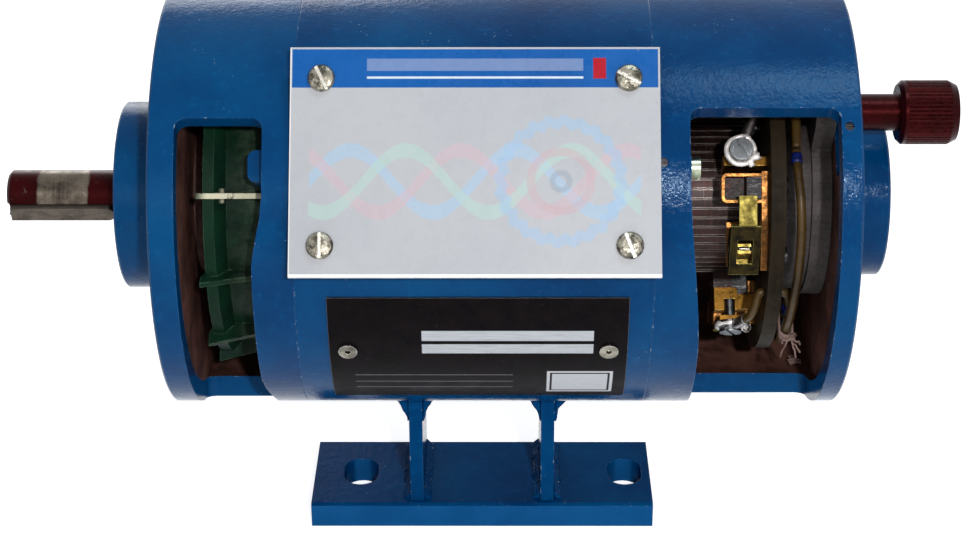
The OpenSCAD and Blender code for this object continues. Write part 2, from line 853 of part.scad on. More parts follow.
module upright(x) {
    color(paint_blue) on_axis() difference() {
        translate([x - upright_t / 2, -upright_depth / 2, foot_top])
            cube([upright_t, upright_depth, -foot_top - housing_r / 2]);
        housing_space(x - upright_t, x + upright_t);
    }
}

module uprights() {
    for (side = [-1, 1]) upright(side * upright_pitch / 2);
}

// Weld that flares out from an upright to the housing, hollow on its open side
module housing_welds() {
    depth = upright_depth - 2;
    thin_end = 0.6;
    color(paint_blue) on_axis() for (x = [-1, 1] * upright_pitch / 2) difference() {
        for (side = [-1, 1])
            translate([x, depth / 2, upright_top - weld_drop]) rotate([90, 0, 0]) linear_extrude(depth)
                difference() {
                    translate([side > 0 ? upright_t / 2 : -upright_t / 2 - weld_flare, 0])
                        square([weld_flare, weld_drop]);
                    translate([side * (upright_t / 2 + weld_drop + thin_end), 0])
                        circle(r = weld_drop, $fn = round_fn);
                }
        housing_space(x - upright_t - weld_flare, x + upright_t + weld_flare);
    }
}

module foot_welds() {
    color(paint_blue) on_axis() for (x = [-1, 1] * upright_pitch / 2, side = [-1, 1])
        translate([x + side * upright_t / 2, (upright_depth - 2) / 2, foot_top])
            rotate([90, 0, 0]) linear_extrude(upright_depth - 2)
                polygon([[0, 0], [side * weld_leg, 0], [side * weld_leg * 0.4, weld_leg * 0.4],
                         [0, weld_leg]]);
}

// Sign board and nameplate
module sign_board() {
    color([0.86, 0.87, 0.88]) on_axis() difference() {
        at_elevation(sign_elevation)
            block(sign_mid_x - sign_len / 2, sign_mid_x + sign_len / 2, sign_r0, sign_r0 + sign_t,
                  sign_mid_t - sign_h / 2, sign_mid_t + sign_h / 2);
        at_sign_corners() rod_out(0, 0, sign_r0 - over, sign_r0 + sign_t + over, sign_screw_d / 2 + hole_gap);
    }
}

module sign_spacers() {
    color(bare_steel) on_axis() difference() {
        at_sign_corners() difference() {
            rod_out(0, 0, sign_screw_tip - 2, sign_r0, sign_spacer_d / 2);
            rod_out(0, 0, sign_screw_tip - 3, sign_r0 + over, sign_screw_d / 2 + hole_gap);
        }
        housing_space(drive_face_x, brush_face_x);
    }
}

module pan_head(r0, radius, height) {
    difference() {
        translate([0, -r0, 0]) rotate([90, 0, 0]) rotate_extrude($fn = round_fn) polygon([
            [0, 0], [radius, 0], [radius, 0.45 * height], [0.87 * radius, 0.8 * height],
            [0.6 * radius, 0.96 * height], [0.3 * radius, height], [0, height]
        ]);
        translate([-radius - over, -(r0 + height + over), -slot_cut_w / 2])
            cube([2 * (radius + over), slot_cut_depth + over, slot_cut_w]);
    }
}

module sign_screws() {
    color(zinc) on_axis() at_sign_corners() {
        pan_head(sign_r0 + sign_t, sign_screw_head_d / 2, sign_head_h);
        rod_out(0, 0, sign_screw_tip, sign_r0 + sign_t, sign_screw_d / 2);
    }
}

module nameplate() {
    half = nameplate_h / 2 / housing_r * 180 / PI;
    color([0.05, 0.05, 0.06]) on_axis() difference() {
        sector(rivet_x - nameplate_len / 2, rivet_x + nameplate_len / 2, housing_r + seat_gap,
               housing_r + seat_gap + nameplate_t, nameplate_elevation - half, nameplate_elevation + half);
        at_rivets() rod_out(0, 0, housing_r - over, housing_r + 2 * nameplate_t + over,
                            rivet_shank_r + running_fit);
    }
}

module nameplate_rivets() {
    seat = housing_r + seat_gap + nameplate_t + seat_gap;
    color(zinc) on_axis() at_rivets() difference() {
        union() {
            rod_out(0, 0, housing_r - rivet_len, seat + rivet_head_t, rivet_shank_r);
            rod_out(0, 0, seat, seat + rivet_head_t, rivet_head_d / 2);
        }
        rod_out(0, 0, housing_r, seat + rivet_head_t + over, rivet_shank_r - 0.5);
    }
}

// Stator
module radial_slots(count, width, r0, r1, x0, x1, turn) {
    for (k = [0:count - 1])
        at_elevation(turn + k * full_turn / count) block(x0, x1, r0, r1, -width / 2, width / 2);
}

module stator_core() {
    color([0.33, 0.33, 0.34]) on_axis() difference() {
        tube_x(core_x0, core_x1, stator_r, bore_r - running_fit);
        radial_slots(stator_slots, stator_slot_w, stator_r - over, stator_r + stator_slot_depth,
                     core_x0 - over, core_x1 + over, 0);
        at_tie_axis() rod_x(core_x0 - over, core_x1 + over, tie_bolt_d / 2 + free_gap);
    }
}

module stator_winding() {
    coil_r0 = stator_r + slot_mouth;
    coil_r1 = stator_r + stator_slot_depth - coil_gap;
    color(copper) on_axis() {
        radial_slots(stator_slots, stator_slot_w - 2 * coil_gap, coil_r0, coil_r1 - coil_gap,
                     core_x0 - over, core_x1 + over, 0);
        tube_x(core_x0 - winding_overhang, core_x0 - coil_gap, coil_r0, coil_r1);
        tube_x(core_x1 + coil_gap, core_x1 + winding_overhang, coil_r0, coil_r1);
    }
}

// Bearings
function pitch_r(b) = (b[0] + b[1]) / 2;
function ball_r(b) = (b[1] - b[0]) / 2 - race_t + 0.55;

module race(b, x, inner) {
    r0 = inner ? b[0] + press_gap : b[1] - race_t;
    r1 = inner ? b[0] + race_t : b[1] - press_gap;
    groove = ball_r(b) + running_fit;
    difference() {
        tube_x(x, x + b[2], r0, r1);
        rotate([0, 90, 0]) rotate_extrude($fn = fine)
            translate([pitch_r(b), x + b[2] / 2]) circle(r = groove, $fn = round_fn);
    }
}

module drive_outer_race() {
    color(bare_steel) on_axis() race(drive_bearing, drive_bearing_x, false);
}

module brush_outer_race() {
    color(bare_steel) on_axis() race(brush_bearing, brush_bearing_x, false);
}

module drive_inner_race() {
    color(bare_steel) on_axis() race(drive_bearing, drive_bearing_x, true);
}

module brush_inner_race() {
    color(bare_steel) on_axis() race(brush_bearing, brush_bearing_x, true);
}

module ball_ring(b, x) {
    for (k = [0:ball_count - 1])
        at_elevation(k * full_turn / ball_count)
            translate([x + b[2] / 2, -pitch_r(b), 0]) sphere(r = ball_r(b), $fn = round_fn);
}

module bearing_balls() {
    color(zinc) on_axis() {
        ball_ring(drive_bearing, drive_bearing_x);
        ball_ring(brush_bearing, brush_bearing_x);
    }
}

module shaft_seal() {
    color(black_rubber) on_axis()
        tube_x(drive_bearing_x - 1 - seal_len, drive_bearing_x - 1, drive_bearing[0] + running_fit,
               seal_r - press_gap);
}

module bearing_cover() {
    spigot_x = drive_bearing_x + drive_bearing[2];
    color(paint_blue) on_axis() turned([
        [fan_seat_r + 1.5, spigot_x], [drive_bearing[1] - press_gap, spigot_x],
        [drive_bearing[1] - press_gap, drive_wall_x], [drive_bearing[1] + 6, drive_wall_x],
        [drive_bearing[1] + 6, drive_wall_x + cover_t], [fan_seat_r + 1.5, drive_wall_x + cover_t]
    ]);
}

module bearing_cap() {
    spigot_x = brush_bearing_x + brush_bearing[2] + wave_t;
    color(paint_blue) on_axis() turned([
        [0, brush_hub_x - cap_t], [brush_bearing[1] - 3, brush_hub_x - cap_t],
        [brush_bearing[1] - 3, spigot_x],
        [brush_bearing[1] - press_gap, spigot_x], [brush_bearing[1] - press_gap, brush_hub_x - 0.5],
        [0, brush_hub_x - 0.5]
    ]);
}

module wave_washer() {
    x = brush_bearing_x + brush_bearing[2];
    color(zinc) on_axis() tube_x(x + 0.1, x + wave_t - 0.1, brush_bearing[1] - 2.6,
                                 brush_bearing[1] - hole_gap);
}

// Rotor
module shaft() {
    tip = 1.2;
    drive_end = drive_bearing_x + drive_bearing[2];
    brush_seat = brush_bearing_x;
    shaft_end = brush_bearing_x + brush_bearing[2] + 2;
    clip_x = brush_bearing_x + brush_bearing[2];
    color(bare_steel) on_axis() difference() {
        turned([
            [0, shaft_tip_x], [shaft_r - tip, shaft_tip_x], [shaft_r, shaft_tip_x + tip],
            [shaft_r, drive_hub_x],
            [drive_bearing[0], drive_hub_x], [drive_bearing[0], drive_end],
            [fan_seat_r, drive_end], [fan_seat_r, fan_x1 + 8],
            [core_seat_r, fan_x1 + 8], [core_seat_r, commutator_x0 - riser_t - 1],
            [fan_seat_r, commutator_x0 - riser_t - 1], [fan_seat_r, commutator_x1 + 1],
            [fan_seat_r - 1, commutator_x1 + 1], [fan_seat_r - 1, brush_seat],
            [brush_bearing[0], brush_seat], [brush_bearing[0], clip_x], [brush_bearing[0] - 0.6, clip_x],
            [brush_bearing[0] - 0.6, clip_x + clip_t], [brush_bearing[0], clip_x + clip_t],
            [brush_bearing[0], shaft_end], [0, shaft_end]
        ]);
        at_elevation(key_elevation) {
            block(shaft_tip_x - over, shaft_tip_x + key_inset + key_len - key_w / 2, key_top_r - key_depth,
                  shaft_r + over, -key_w / 2, key_w / 2);
            rod_out(shaft_tip_x + key_inset + key_len - key_w / 2, 0, key_top_r - key_depth, shaft_r + over,
                    key_w / 2);
        }
    }
}

module shaft_key() {
    half = key_w / 2 - key_side_gap;
    end_x = shaft_tip_x + key_inset + key_len - key_w / 2;
    low = key_top_r - key_depth + key_side_gap;
    color(bare_steel) on_axis() at_elevation(key_elevation) {
        block(shaft_tip_x + key_inset, end_x, low, low + key_h, -half, half);
        rod_out(end_x, 0, low, low + key_h, half);
    }
}

module rotor_core() {
    color([0.33, 0.33, 0.34]) on_axis() difference() {
        tube_x(core_x0, core_x1, core_seat_r + press_gap, rotor_r);
        radial_slots(rotor_slots, rotor_slot_w, rotor_r - rotor_slot_depth, rotor_r + over,
                     core_x0 - over, core_x1 + over, 0);
    }
}

module rotor_winding() {
    coil_r0 = rotor_r - rotor_slot_depth + coil_gap;
    coil_r1 = rotor_r - slot_mouth;
    lead_x = commutator_x0 - riser_t - 0.3;
    color(copper) on_axis() {
        radial_slots(rotor_slots, rotor_slot_w - 2 * coil_gap, coil_r0 + coil_gap, coil_r1, core_x0 - over,
                     core_x1 + over, 0);
        tube_x(core_x0 - winding_overhang, core_x0 - coil_gap, coil_r0, coil_r1);
        turned([
            [coil_r0, core_x1 + coil_gap], [coil_r1, core_x1 + coil_gap],
            [coil_r1, core_x1 + winding_overhang],
            [riser_r, lead_x], [commutator_hub_r + 1, lead_x], [coil_r0, core_x1 + winding_overhang]
        ]);
    }
}

module bar_gaps(width, depth) {
    for (k = [0:commutator_bars - 1])
        at_elevation(k * full_turn / commutator_bars)
            block(commutator_x0 - riser_t - over, commutator_x1 + over, commutator_r - depth, riser_r + over,
                  -width / 2, width / 2);
}

module commutator_segments() {
    color(copper) on_axis() difference() {
        turned([
            [commutator_hub_r + press_gap, commutator_x0 - riser_t], [riser_r, commutator_x0 - riser_t],
            [riser_r, commutator_x0], [commutator_r, commutator_x0], [commutator_r, commutator_x1 - 0.6],
            [commutator_r - 0.6, commutator_x1], [commutator_hub_r + press_gap, commutator_x1]
        ]);
        bar_gaps(bar_gap, bar_depth + over);
    }
}

module commutator_insulation() {
    side_gap = 0.03;
    color([0.45, 0.38, 0.30]) on_axis() {
        tube_x(commutator_x0 - riser_t, commutator_x1 + 0.8, fan_seat_r + press_gap, commutator_hub_r);
        for (k = [0:commutator_bars - 1])
            at_elevation(k * full_turn / commutator_bars)
                block(commutator_x0 - riser_t + side_gap, commutator_x1 - over, commutator_hub_r - over,
                      commutator_r - undercut, -bar_gap / 2 + side_gap, bar_gap / 2 - side_gap);
    }
}

module fan() {
    color([0.10, 0.34, 0.24]) on_axis() difference() {
        union() {
            tube_x(fan_rim_x0 + fan_rim_inset, fan_x1, fan_seat_r + press_gap, fan_hub_r);
            tube_x(fan_x1 - fan_disc_t, fan_x1, fan_hub_r - over, fan_drum_r - over);
            turned([
                [fan_drum_r - fan_drum_t, fan_rim_x0], [fan_rim_r, fan_rim_x0],
                [fan_rim_r, fan_rim_x0 + fan_rim_len],
                [fan_drum_r, fan_rim_x0 + fan_rim_len + fan_slope_len], [fan_drum_r, fan_x1],
                [fan_drum_r - fan_drum_t, fan_x1]
            ]);
            for (k = [0:fan_blades - 1])
                at_elevation(fan_blade_elevation + k * full_turn / fan_blades)
                    translate([0, 0, -fan_blade_t / 2]) linear_extrude(fan_blade_t)
                        polygon([[fan_rim_x0 + 0.5, over - fan_drum_r], [fan_x1, over - fan_drum_r],
                                 [fan_x1, -fan_small_r], [fan_x0, -fan_r], [fan_x0, -fan_rim_r]]);
        }
        rod_x(fan_x0 - over, fan_x1 + over, fan_seat_r + press_gap);
    }
}

module rotor_circlip() {
    x = brush_bearing_x + brush_bearing[2];
    color(zinc) on_axis()
        tube_x(x + press_gap, x + clip_t - press_gap, brush_bearing[0] - 0.6 + press_gap,
               brush_bearing[0] + 1.6);
}

// Rocker
module rocker_hub() {
    clip_room = clip_groove_x + clip_t + 0.3;
    color(cast_grey) on_axis() difference() {
        union() {
            turned([
                [boss_r + 2.6, ring_x0 + 0.3], [ring_bore_r - press_gap, ring_x0 + 0.3],
                [ring_bore_r - press_gap, ring_x1],
                [sleeve_r, ring_x1], [sleeve_r, flange_x0], [rocker_r, flange_x0], [rocker_r, flange_x1],
                [boss_r + running_fit, flange_x1], [boss_r + running_fit, clip_room],
                [boss_r + 2.6, clip_room]
            ]);
            at_elevation(knob_elevation) slab(flange_x0, flange_x1) {
                translate([sleeve_r - 4, -ear_r]) square([knob_r - sleeve_r + 4, 2 * ear_r]);
                translate([knob_r, 0]) circle(r = ear_r, $fn = round_fn);
            }
        }
        at_elevation(knob_elevation) translate([0, -knob_r, 0])
            rod_x(flange_x0 - over, flange_x1 + over, stud_r + running_fit);
        each_set() at_elevation(set_pitch / 2) translate([0, -ring_screw_r, 0])
            rod_x(ring_x1 - over, ring_x0 + ring_screw_len + 0.5, ring_screw_d / 2 + running_fit);
    }
}

module rocker_ring() {
    color(insulation) on_axis() difference() {
        tube_x(ring_x0, ring_x1, ring_bore_r, ring_r);
        each_set() {
            at_elevation(set_pitch / 2) translate([0, -ring_screw_r, 0])
                rod_x(ring_x0 - over, ring_x1 + over, ring_screw_d / 2 + running_fit);
            for (p = holder_screw_at) translate([0, -p[0], p[1]])
                rod_x(ring_x0 - over, ring_x1 + over, holder_screw_r + running_fit);
        }
        each_terminal() at_elevation(lead_hole_turn) translate([0, -lead_hole_at_r, 0])
            rod_x(ring_x0 - over, ring_x1 + over, lead_d / 2 + lead_hole_gap);
    }
}

module rocker_circlip() {
    color(zinc) on_axis()
        tube_x(clip_groove_x + press_gap, clip_groove_x + clip_t - press_gap, boss_r - clip_depth + press_gap,
               boss_r + 1.8);
}

module ring_screws() {
    color(zinc) on_axis() each_set() at_elevation(set_pitch / 2) translate([0, -ring_screw_r, 0]) {
        rod_x(ring_x0 - ring_screw_head_t, ring_x0, ring_screw_head_d / 2);
        rod_x(ring_x0, ring_x0 + ring_screw_len, ring_screw_d / 2);
    }
}

module finger_post() {
    difference() {
        slab(post_x0, post_x1) polygon([
            [web_r, web_t0 + 2], [web_r, web_t1 - 2],
            [pin_at_r + 2.6, pin_at_t + post_half_t], [pin_at_r + 2.6, pin_at_t - post_half_t]
        ]);
        translate([0, -pin_at_r, pin_at_t]) rod_x(post_x0 - over, post_x1 + over, pin_r + press_gap);
    }
}

// One side of the strap in [x, t]: from the plate round its far end and back to the plate
function strap_side(x0, half, r) =
    concat([[plate_x0 + strap_sink, half]], arc_points([x0 + r, half - r], r, 90, 180, strap_corner_steps),
           arc_points([x0 + r, r - half], r, 180, 270, strap_corner_steps), [[plate_x0 + strap_sink, -half]]);
function reversed(points) = [for (i = [len(points) - 1:-1:0]) points[i]];

module brush_strap() {
    outer = strap_side(box_x0, box_t + brass_t, strap_corner_r);
    inner = strap_side(box_x0 + brass_t, box_t, strap_corner_r - brass_t);
    translate([0, -box_r0, 0]) rotate([90, 0, 0]) linear_extrude(strap_h)
        polygon(concat(outer, reversed(inner)));
}

module brush_holders() {
    color(brass) on_axis() each_set() difference() {
        union() {
            slab(plate_x0, holder_x1) polygon(plate_outline);
            brush_strap();
            block(finger_x0, plate_x0 + 0.5, web_r, web_r + brass_t, web_t0, web_t1);
            finger_post();
        }
        for (p = holder_screw_at) translate([0, -p[0], p[1]])
            rod_x(plate_x0 - over, holder_x1 + over, holder_screw_r + running_fit);
    }
}

module holder_screws() {
    color(zinc) on_axis() each_set() for (p = holder_screw_at) translate([0, -p[0], p[1]]) {
        rod_x(ring_x1, ring_x1 + holder_screw_head_t, holder_screw_head_r);
        rod_x(plate_x0 + 0.2, ring_x1, holder_screw_r);
    }
}

module terminal_blocks() {
    color(brass) on_axis() each_terminal() difference() {
        union() {
            block(terminal_x - block_reach_x, terminal_x + block_back_x, block_r0, block_r1, block_low_t,
                  block_high_t);
            block(terminal_x, holder_x1, tab_r0, tab_r1, block_low_t, tab_high_t);
        }
        rod_out(terminal_x, 0, thread_r0 - 0.5, block_r1 + over, terminal_screw_r + running_fit);
    }
}

module terminal_plates() {
    color(brass) on_axis() each_terminal() difference() {
        block(terminal_x - terminal_plate_half, terminal_x + terminal_plate_half, terminal_plate_r0, lug_r0,
              -terminal_plate_half_t, terminal_plate_half_t);
        rod_out(terminal_x, 0, terminal_plate_r0 - over, lug_r0 + over, terminal_screw_r + running_fit);
    }
}

module terminal_lugs() {
    color(zinc) on_axis() each_terminal() translate([terminal_x, 0, 0]) rotate([0, lug_tilt, 0]) difference() {
        union() {
            rod_out(0, 0, lug_r0, lug_r1, lug_ring_r);
            block(-lug_barrel_r, lug_barrel_r, lug_r0, lug_r1, 0, lug_barrel_start + over);
            translate([0, -barrel_r, lug_barrel_start])
                cylinder(h = lug_barrel_end - lug_barrel_start, r = lug_barrel_r, $fn = round_fn);
        }
        rod_out(0, 0, lug_r0 - over, lug_r1 + over, terminal_screw_r + hole_gap);
    }
}

module terminal_screws() {
    color(zinc) on_axis() each_terminal() translate([terminal_x, 0, 0]) rotate([0, 65, 0]) {
        difference() {
            rod_out(0, 0, lug_r1, lug_r1 + terminal_head_t, terminal_head_r);
            translate([-terminal_head_r - over, -(lug_r1 + terminal_head_t + over), -slot_cut_w / 2])
                cube([2 * (terminal_head_r + over), slot_cut_depth + over, slot_cut_w]);
        }
        rod_out(0, 0, thread_r0, lug_r1, terminal_screw_r);
    }
}

module finger_pins() {
    color(zinc) on_axis() each_set() translate([0, -pin_at_r, pin_at_t])
        rod_x(finger_x0 - 0.2, finger_x1 + 0.1, pin_r);
}

module finger_springs() {
    color(bare_steel) on_axis() each_set() translate([0, -pin_at_r, pin_at_t])
        tube_x(finger_x0 + finger_t + spring_gap, post_x0 - spring_gap, pin_r + hole_gap, spring_r);
}

// The jumper leads: a tube swept along the route's points
function route_point(p) = out_point(ring_x0 + p[2], p[1], p[0]);
function route_points() = [for (p = lead_route) route_point(p)];
function unit(v) = v / norm(v);
function route_heading(points, i) =
    i == 0 ? unit(points[1] - points[0])
    : i == len(points) - 1 ? unit(points[i] - points[i - 1])
    : unit(unit(points[i + 1] - points[i]) + unit(points[i] - points[i - 1]));
function carried_side(side, heading) = unit(side - heading * (side * heading));
function route_sides(points, i, side) =
    i == len(points) ? []
    : let (next = carried_side(side, route_heading(points, i)))
      concat([next], route_sides(points, i + 1, next));

module swept_tube(points, radius, sides) {
    n = len(points);
    firsts = route_sides(points, 0, unit([0.2, 1, 0.3]));
    ring = [for (i = [0:n - 1], k = [0:sides - 1])
        let (heading = route_heading(points, i), other = cross(heading, firsts[i]),
             turn = full_turn * k / sides)
        points[i] + radius * (cos(turn) * firsts[i] + sin(turn) * other)];
    walls = [for (i = [0:n - 2], k = [0:sides - 1])
        let (a = i * sides + k, b = i * sides + (k + 1) % sides)
        each [[a, a + sides, b + sides], [a, b + sides, b]]];
    first_cap = [for (k = [0:sides - 1]) k];
    last_cap = [for (k = [0:sides - 1]) n * sides - 1 - k];
    polyhedron(points = ring, faces = concat(walls, [first_cap, last_cap]));
}

module jumper_leads() {
    color([0.36, 0.30, 0.15]) on_axis() each_terminal() swept_tube(route_points(), lead_d / 2, lead_sides);
}

module lash_outline(r) {
    translate([lash_low_r, 0]) circle(r = r, $fn = round_fn);
    translate([lash_high_r, 0]) circle(r = r, $fn = round_fn);
    translate([lash_low_r, -r]) square([lash_high_r - lash_low_r, 2 * r]);
}

module lead_lashings() {
    inner = lead_d / 2 + lash_gap;
    color([0.72, 0.60, 0.56]) on_axis() for (k = [0:lash_count - 1])
        at_elevation(first_brush_elevation + terminal_turn + lash_turn - set_pitch * k)
            translate([lash_x, 0, -lash_len / 2]) rotate([0, 0, -90]) linear_extrude(lash_len) difference() {
                lash_outline(inner + lash_wall);
                lash_outline(inner);
            }
}

// Brushes and pressure fingers
module brush(k) {
    color(carbon) on_axis() at_elevation(first_brush_elevation - set_pitch * (k - 1)) difference() {
        union() {
            block(brush_x0, brush_x1, commutator_r - 2, brush_step_r, -brush_w / 2, brush_w / 2);
            block(brush_step_x, brush_x1, commutator_r, brush_top_r, -brush_w / 2, brush_w / 2);
        }
        rod_x(brush_x0 - over, brush_x1 + over, brush_r0);
    }
}

module finger(k) {
    a = [finger_r1, finger_bend_t];
    b = [finger_r1 - finger_drop, finger_end_t];
    down = unit(b - a);
    inwards = finger_t * [down[1], -down[0]];
    color(brass) on_axis() at_elevation(first_brush_elevation - set_pitch * (k - 1)) difference() {
        union() {
            block(finger_head_x0, finger_head_x1, finger_r0, finger_r1, finger_bend_t, finger_tip_t);
            slab(finger_x0, finger_x1) polygon([a, a + inwards, b + inwards, b]);
            for (x = [finger_x0, finger_x1 - finger_t]) slab(x, x + finger_t) polygon([
                a + inwards / 2 + down, b + inwards / 2 - down,
                [pin_at_r - 2.8, pin_at_t - 6], [pin_at_r - 2.8, pin_at_t + 3], [pin_at_r + 3, pin_at_t + 7]
            ]);
        }
        block(post_x0 - cutout_side, post_x1 + cutout_side, pin_at_r, finger_r1 + over, cutout_t0, cutout_t1);
        translate([0, -pin_at_r, pin_at_t]) rod_x(finger_x0 - over, finger_x1 + over, pin_r + running_fit);
    }
}

// Knob
module at_knob() {
    on_axis() at_elevation(knob_elevation) translate([0, -knob_r, 0]) children();
}

module knob_head() {
    r = knob_d / 2;
    end_x = knob_head_x + knob_len;
    color(red_paint) at_knob() difference() {
        turned([
            [0, knob_x0], [knob_stem_d / 2, knob_x0], [knob_stem_d / 2, knob_head_x],
            [r - knob_chamfer, knob_head_x], [r, knob_head_x + knob_chamfer],
            [r, end_x - knob_chamfer * 2], [r - knob_chamfer, end_x], [0, end_x]
        ]);
        rod_x(knob_x0 - over, stud_x1 + 0.3, stud_r + press_gap);
        for (k = [0:knurl_count - 1])
            rotate([k * full_turn / knurl_count, 0, 0])
                translate([knob_head_x + knob_chamfer + knurl_smooth, -r, 0])
                    rotate([0, 90, 0]) cylinder(h = knob_len, r = knurl_depth, $fn = 4);
    }
}

module knob_stud() {
    color(zinc) at_knob() rod_x(stud_x0, stud_x1, stud_r);
}

module knob_washer() {
    color(zinc) at_knob() tube_x(brush_face_x + washer_gap, knob_x0, stud_r + hole_gap, washer_r);
}

centre_frame();
drive_end_shield();
brush_end_shield();
brush_end_wall();
foot_plate();
uprights();
housing_welds();
foot_welds();
sign_board();
sign_spacers();
sign_screws();
nameplate();
nameplate_rivets();
tie_bolts();
grub_screws();
lead_grommet();
stator_core();
stator_winding();
drive_outer_race();
brush_outer_race();
shaft_seal();
bearing_cover();
bearing_cap();
wave_washer();
shaft();
shaft_key();
rotor_core();
rotor_winding();
commutator_segments();
commutator_insulation();
fan();
drive_inner_race();
brush_inner_race();
bearing_balls();
rotor_circlip();
rocker_hub();
rocker_ring();
rocker_circlip();
ring_screws();
brush_holders();
holder_screws();
terminal_blocks();
terminal_plates();
terminal_lugs();
terminal_screws();
finger_pins();
finger_springs();
jumper_leads();
lead_lashings();
knob_head();
knob_stud();
knob_washer();
brush(1);  // brush_1
brush(2);  // brush_2
brush(3);  // brush_3
brush(4);  // brush_4
finger(1);  // finger_1
finger(2);  // finger_2
finger(3);  // finger_3
finger(4);  // finger_4
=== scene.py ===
"""Looks of a cutaway repulsion motor: materials, small pieces, floor, lights and camera.

Lengths are in metres, in the frame of the solids: X along the motor axis, the windows face -Y, Z is up.
Angles called elevation are measured about the motor axis, from -Y towards +Z.
"""
from math import cos, pi, radians, sin

import bmesh
import bpy
from mathutils import Matrix, Vector, noise


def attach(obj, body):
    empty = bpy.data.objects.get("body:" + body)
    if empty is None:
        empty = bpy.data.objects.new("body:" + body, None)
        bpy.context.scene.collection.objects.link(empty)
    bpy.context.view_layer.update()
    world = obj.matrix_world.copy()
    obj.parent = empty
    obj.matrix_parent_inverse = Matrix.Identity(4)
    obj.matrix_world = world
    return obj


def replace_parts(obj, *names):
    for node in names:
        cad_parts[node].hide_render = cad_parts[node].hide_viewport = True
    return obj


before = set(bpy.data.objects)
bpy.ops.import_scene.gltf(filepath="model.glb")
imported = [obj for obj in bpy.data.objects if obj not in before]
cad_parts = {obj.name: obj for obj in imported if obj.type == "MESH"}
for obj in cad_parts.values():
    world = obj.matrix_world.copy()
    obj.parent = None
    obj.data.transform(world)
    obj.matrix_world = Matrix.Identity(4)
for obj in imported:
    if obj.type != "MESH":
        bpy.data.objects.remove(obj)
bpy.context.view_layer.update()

# Sizes of the solids that the looks depend on, with elevations and turns in degrees
MM = 0.001
AXIS_H = 0.136
BORE_R = 0.072
PLATE_R = 0.0806
DRIVE_WALL_X = -0.1076
DRIVE_SEAM_X = -0.066
BRUSH_SEAM_X = 0.062
BRUSH_WALL_X = 0.1305
SIGN_ELEVATION = 33.6
SIGN_MID_MM = (-1.5, -2.5)
SLOT_FLOOR_R = 0.0845
FIRST_BRUSH = 26.5
BRUSH_SETS = 4
SET_PITCH = 90
TERMINAL_TURN = 15
COMMUTATOR_BARS = 52
RING_X0 = 0.1051
FAN_BLADE = 23.4
FAN_RIM_X1 = -0.0955
BRUSH_STEP_X = 0.0969
FINGER_BEND_T = -0.014
POST_X0 = 0.0943
POST_X1 = 0.0993
POST_T1 = -0.0185
POST_R0 = 0.038


def srgb(*values):
    """Linear colour from red, green and blue values of 0 to 255."""
    shares = [value / 255 for value in values]
    linear = [share / 12.92 if share <= 0.04045 else ((share + 0.055) / 1.055) ** 2.4 for share in shares]
    return (*linear, 1.0)


def around(x, r, elevation):
    """Point at a distance from the motor axis."""
    a = radians(elevation)
    return Vector((x, -r * cos(a), AXIS_H + r * sin(a)))


def along_turn(elevation):
    """Unit vector along the turn at an elevation."""
    a = radians(elevation)
    return Vector((0.0, sin(a), cos(a)))


def outwards_at(elevation):
    """Unit vector away from the motor axis at an elevation."""
    return around(0, 1, elevation) - around(0, 0, elevation)


class Nodes:
    """A node tree under construction."""

    def __init__(self, tree):
        self.tree = tree

    def put(self, node, inputs):
        """Set a node's inputs to values, or link them."""
        for key, value in dict(inputs).items():
            if isinstance(value, bpy.types.NodeSocket):
                self.tree.links.new(value, node.inputs[key])
            else:
                node.inputs[key].default_value = value

    def add(self, kind, inputs=(), **settings):
        node = self.tree.nodes.new("ShaderNode" + kind)
        for name, value in settings.items():
            setattr(node, name, value)
        self.put(node, inputs)
        return node

    def maths(self, operation, *values, clamp=False):
        return self.add("Math", enumerate(values), operation=operation, use_clamp=clamp).outputs[0]


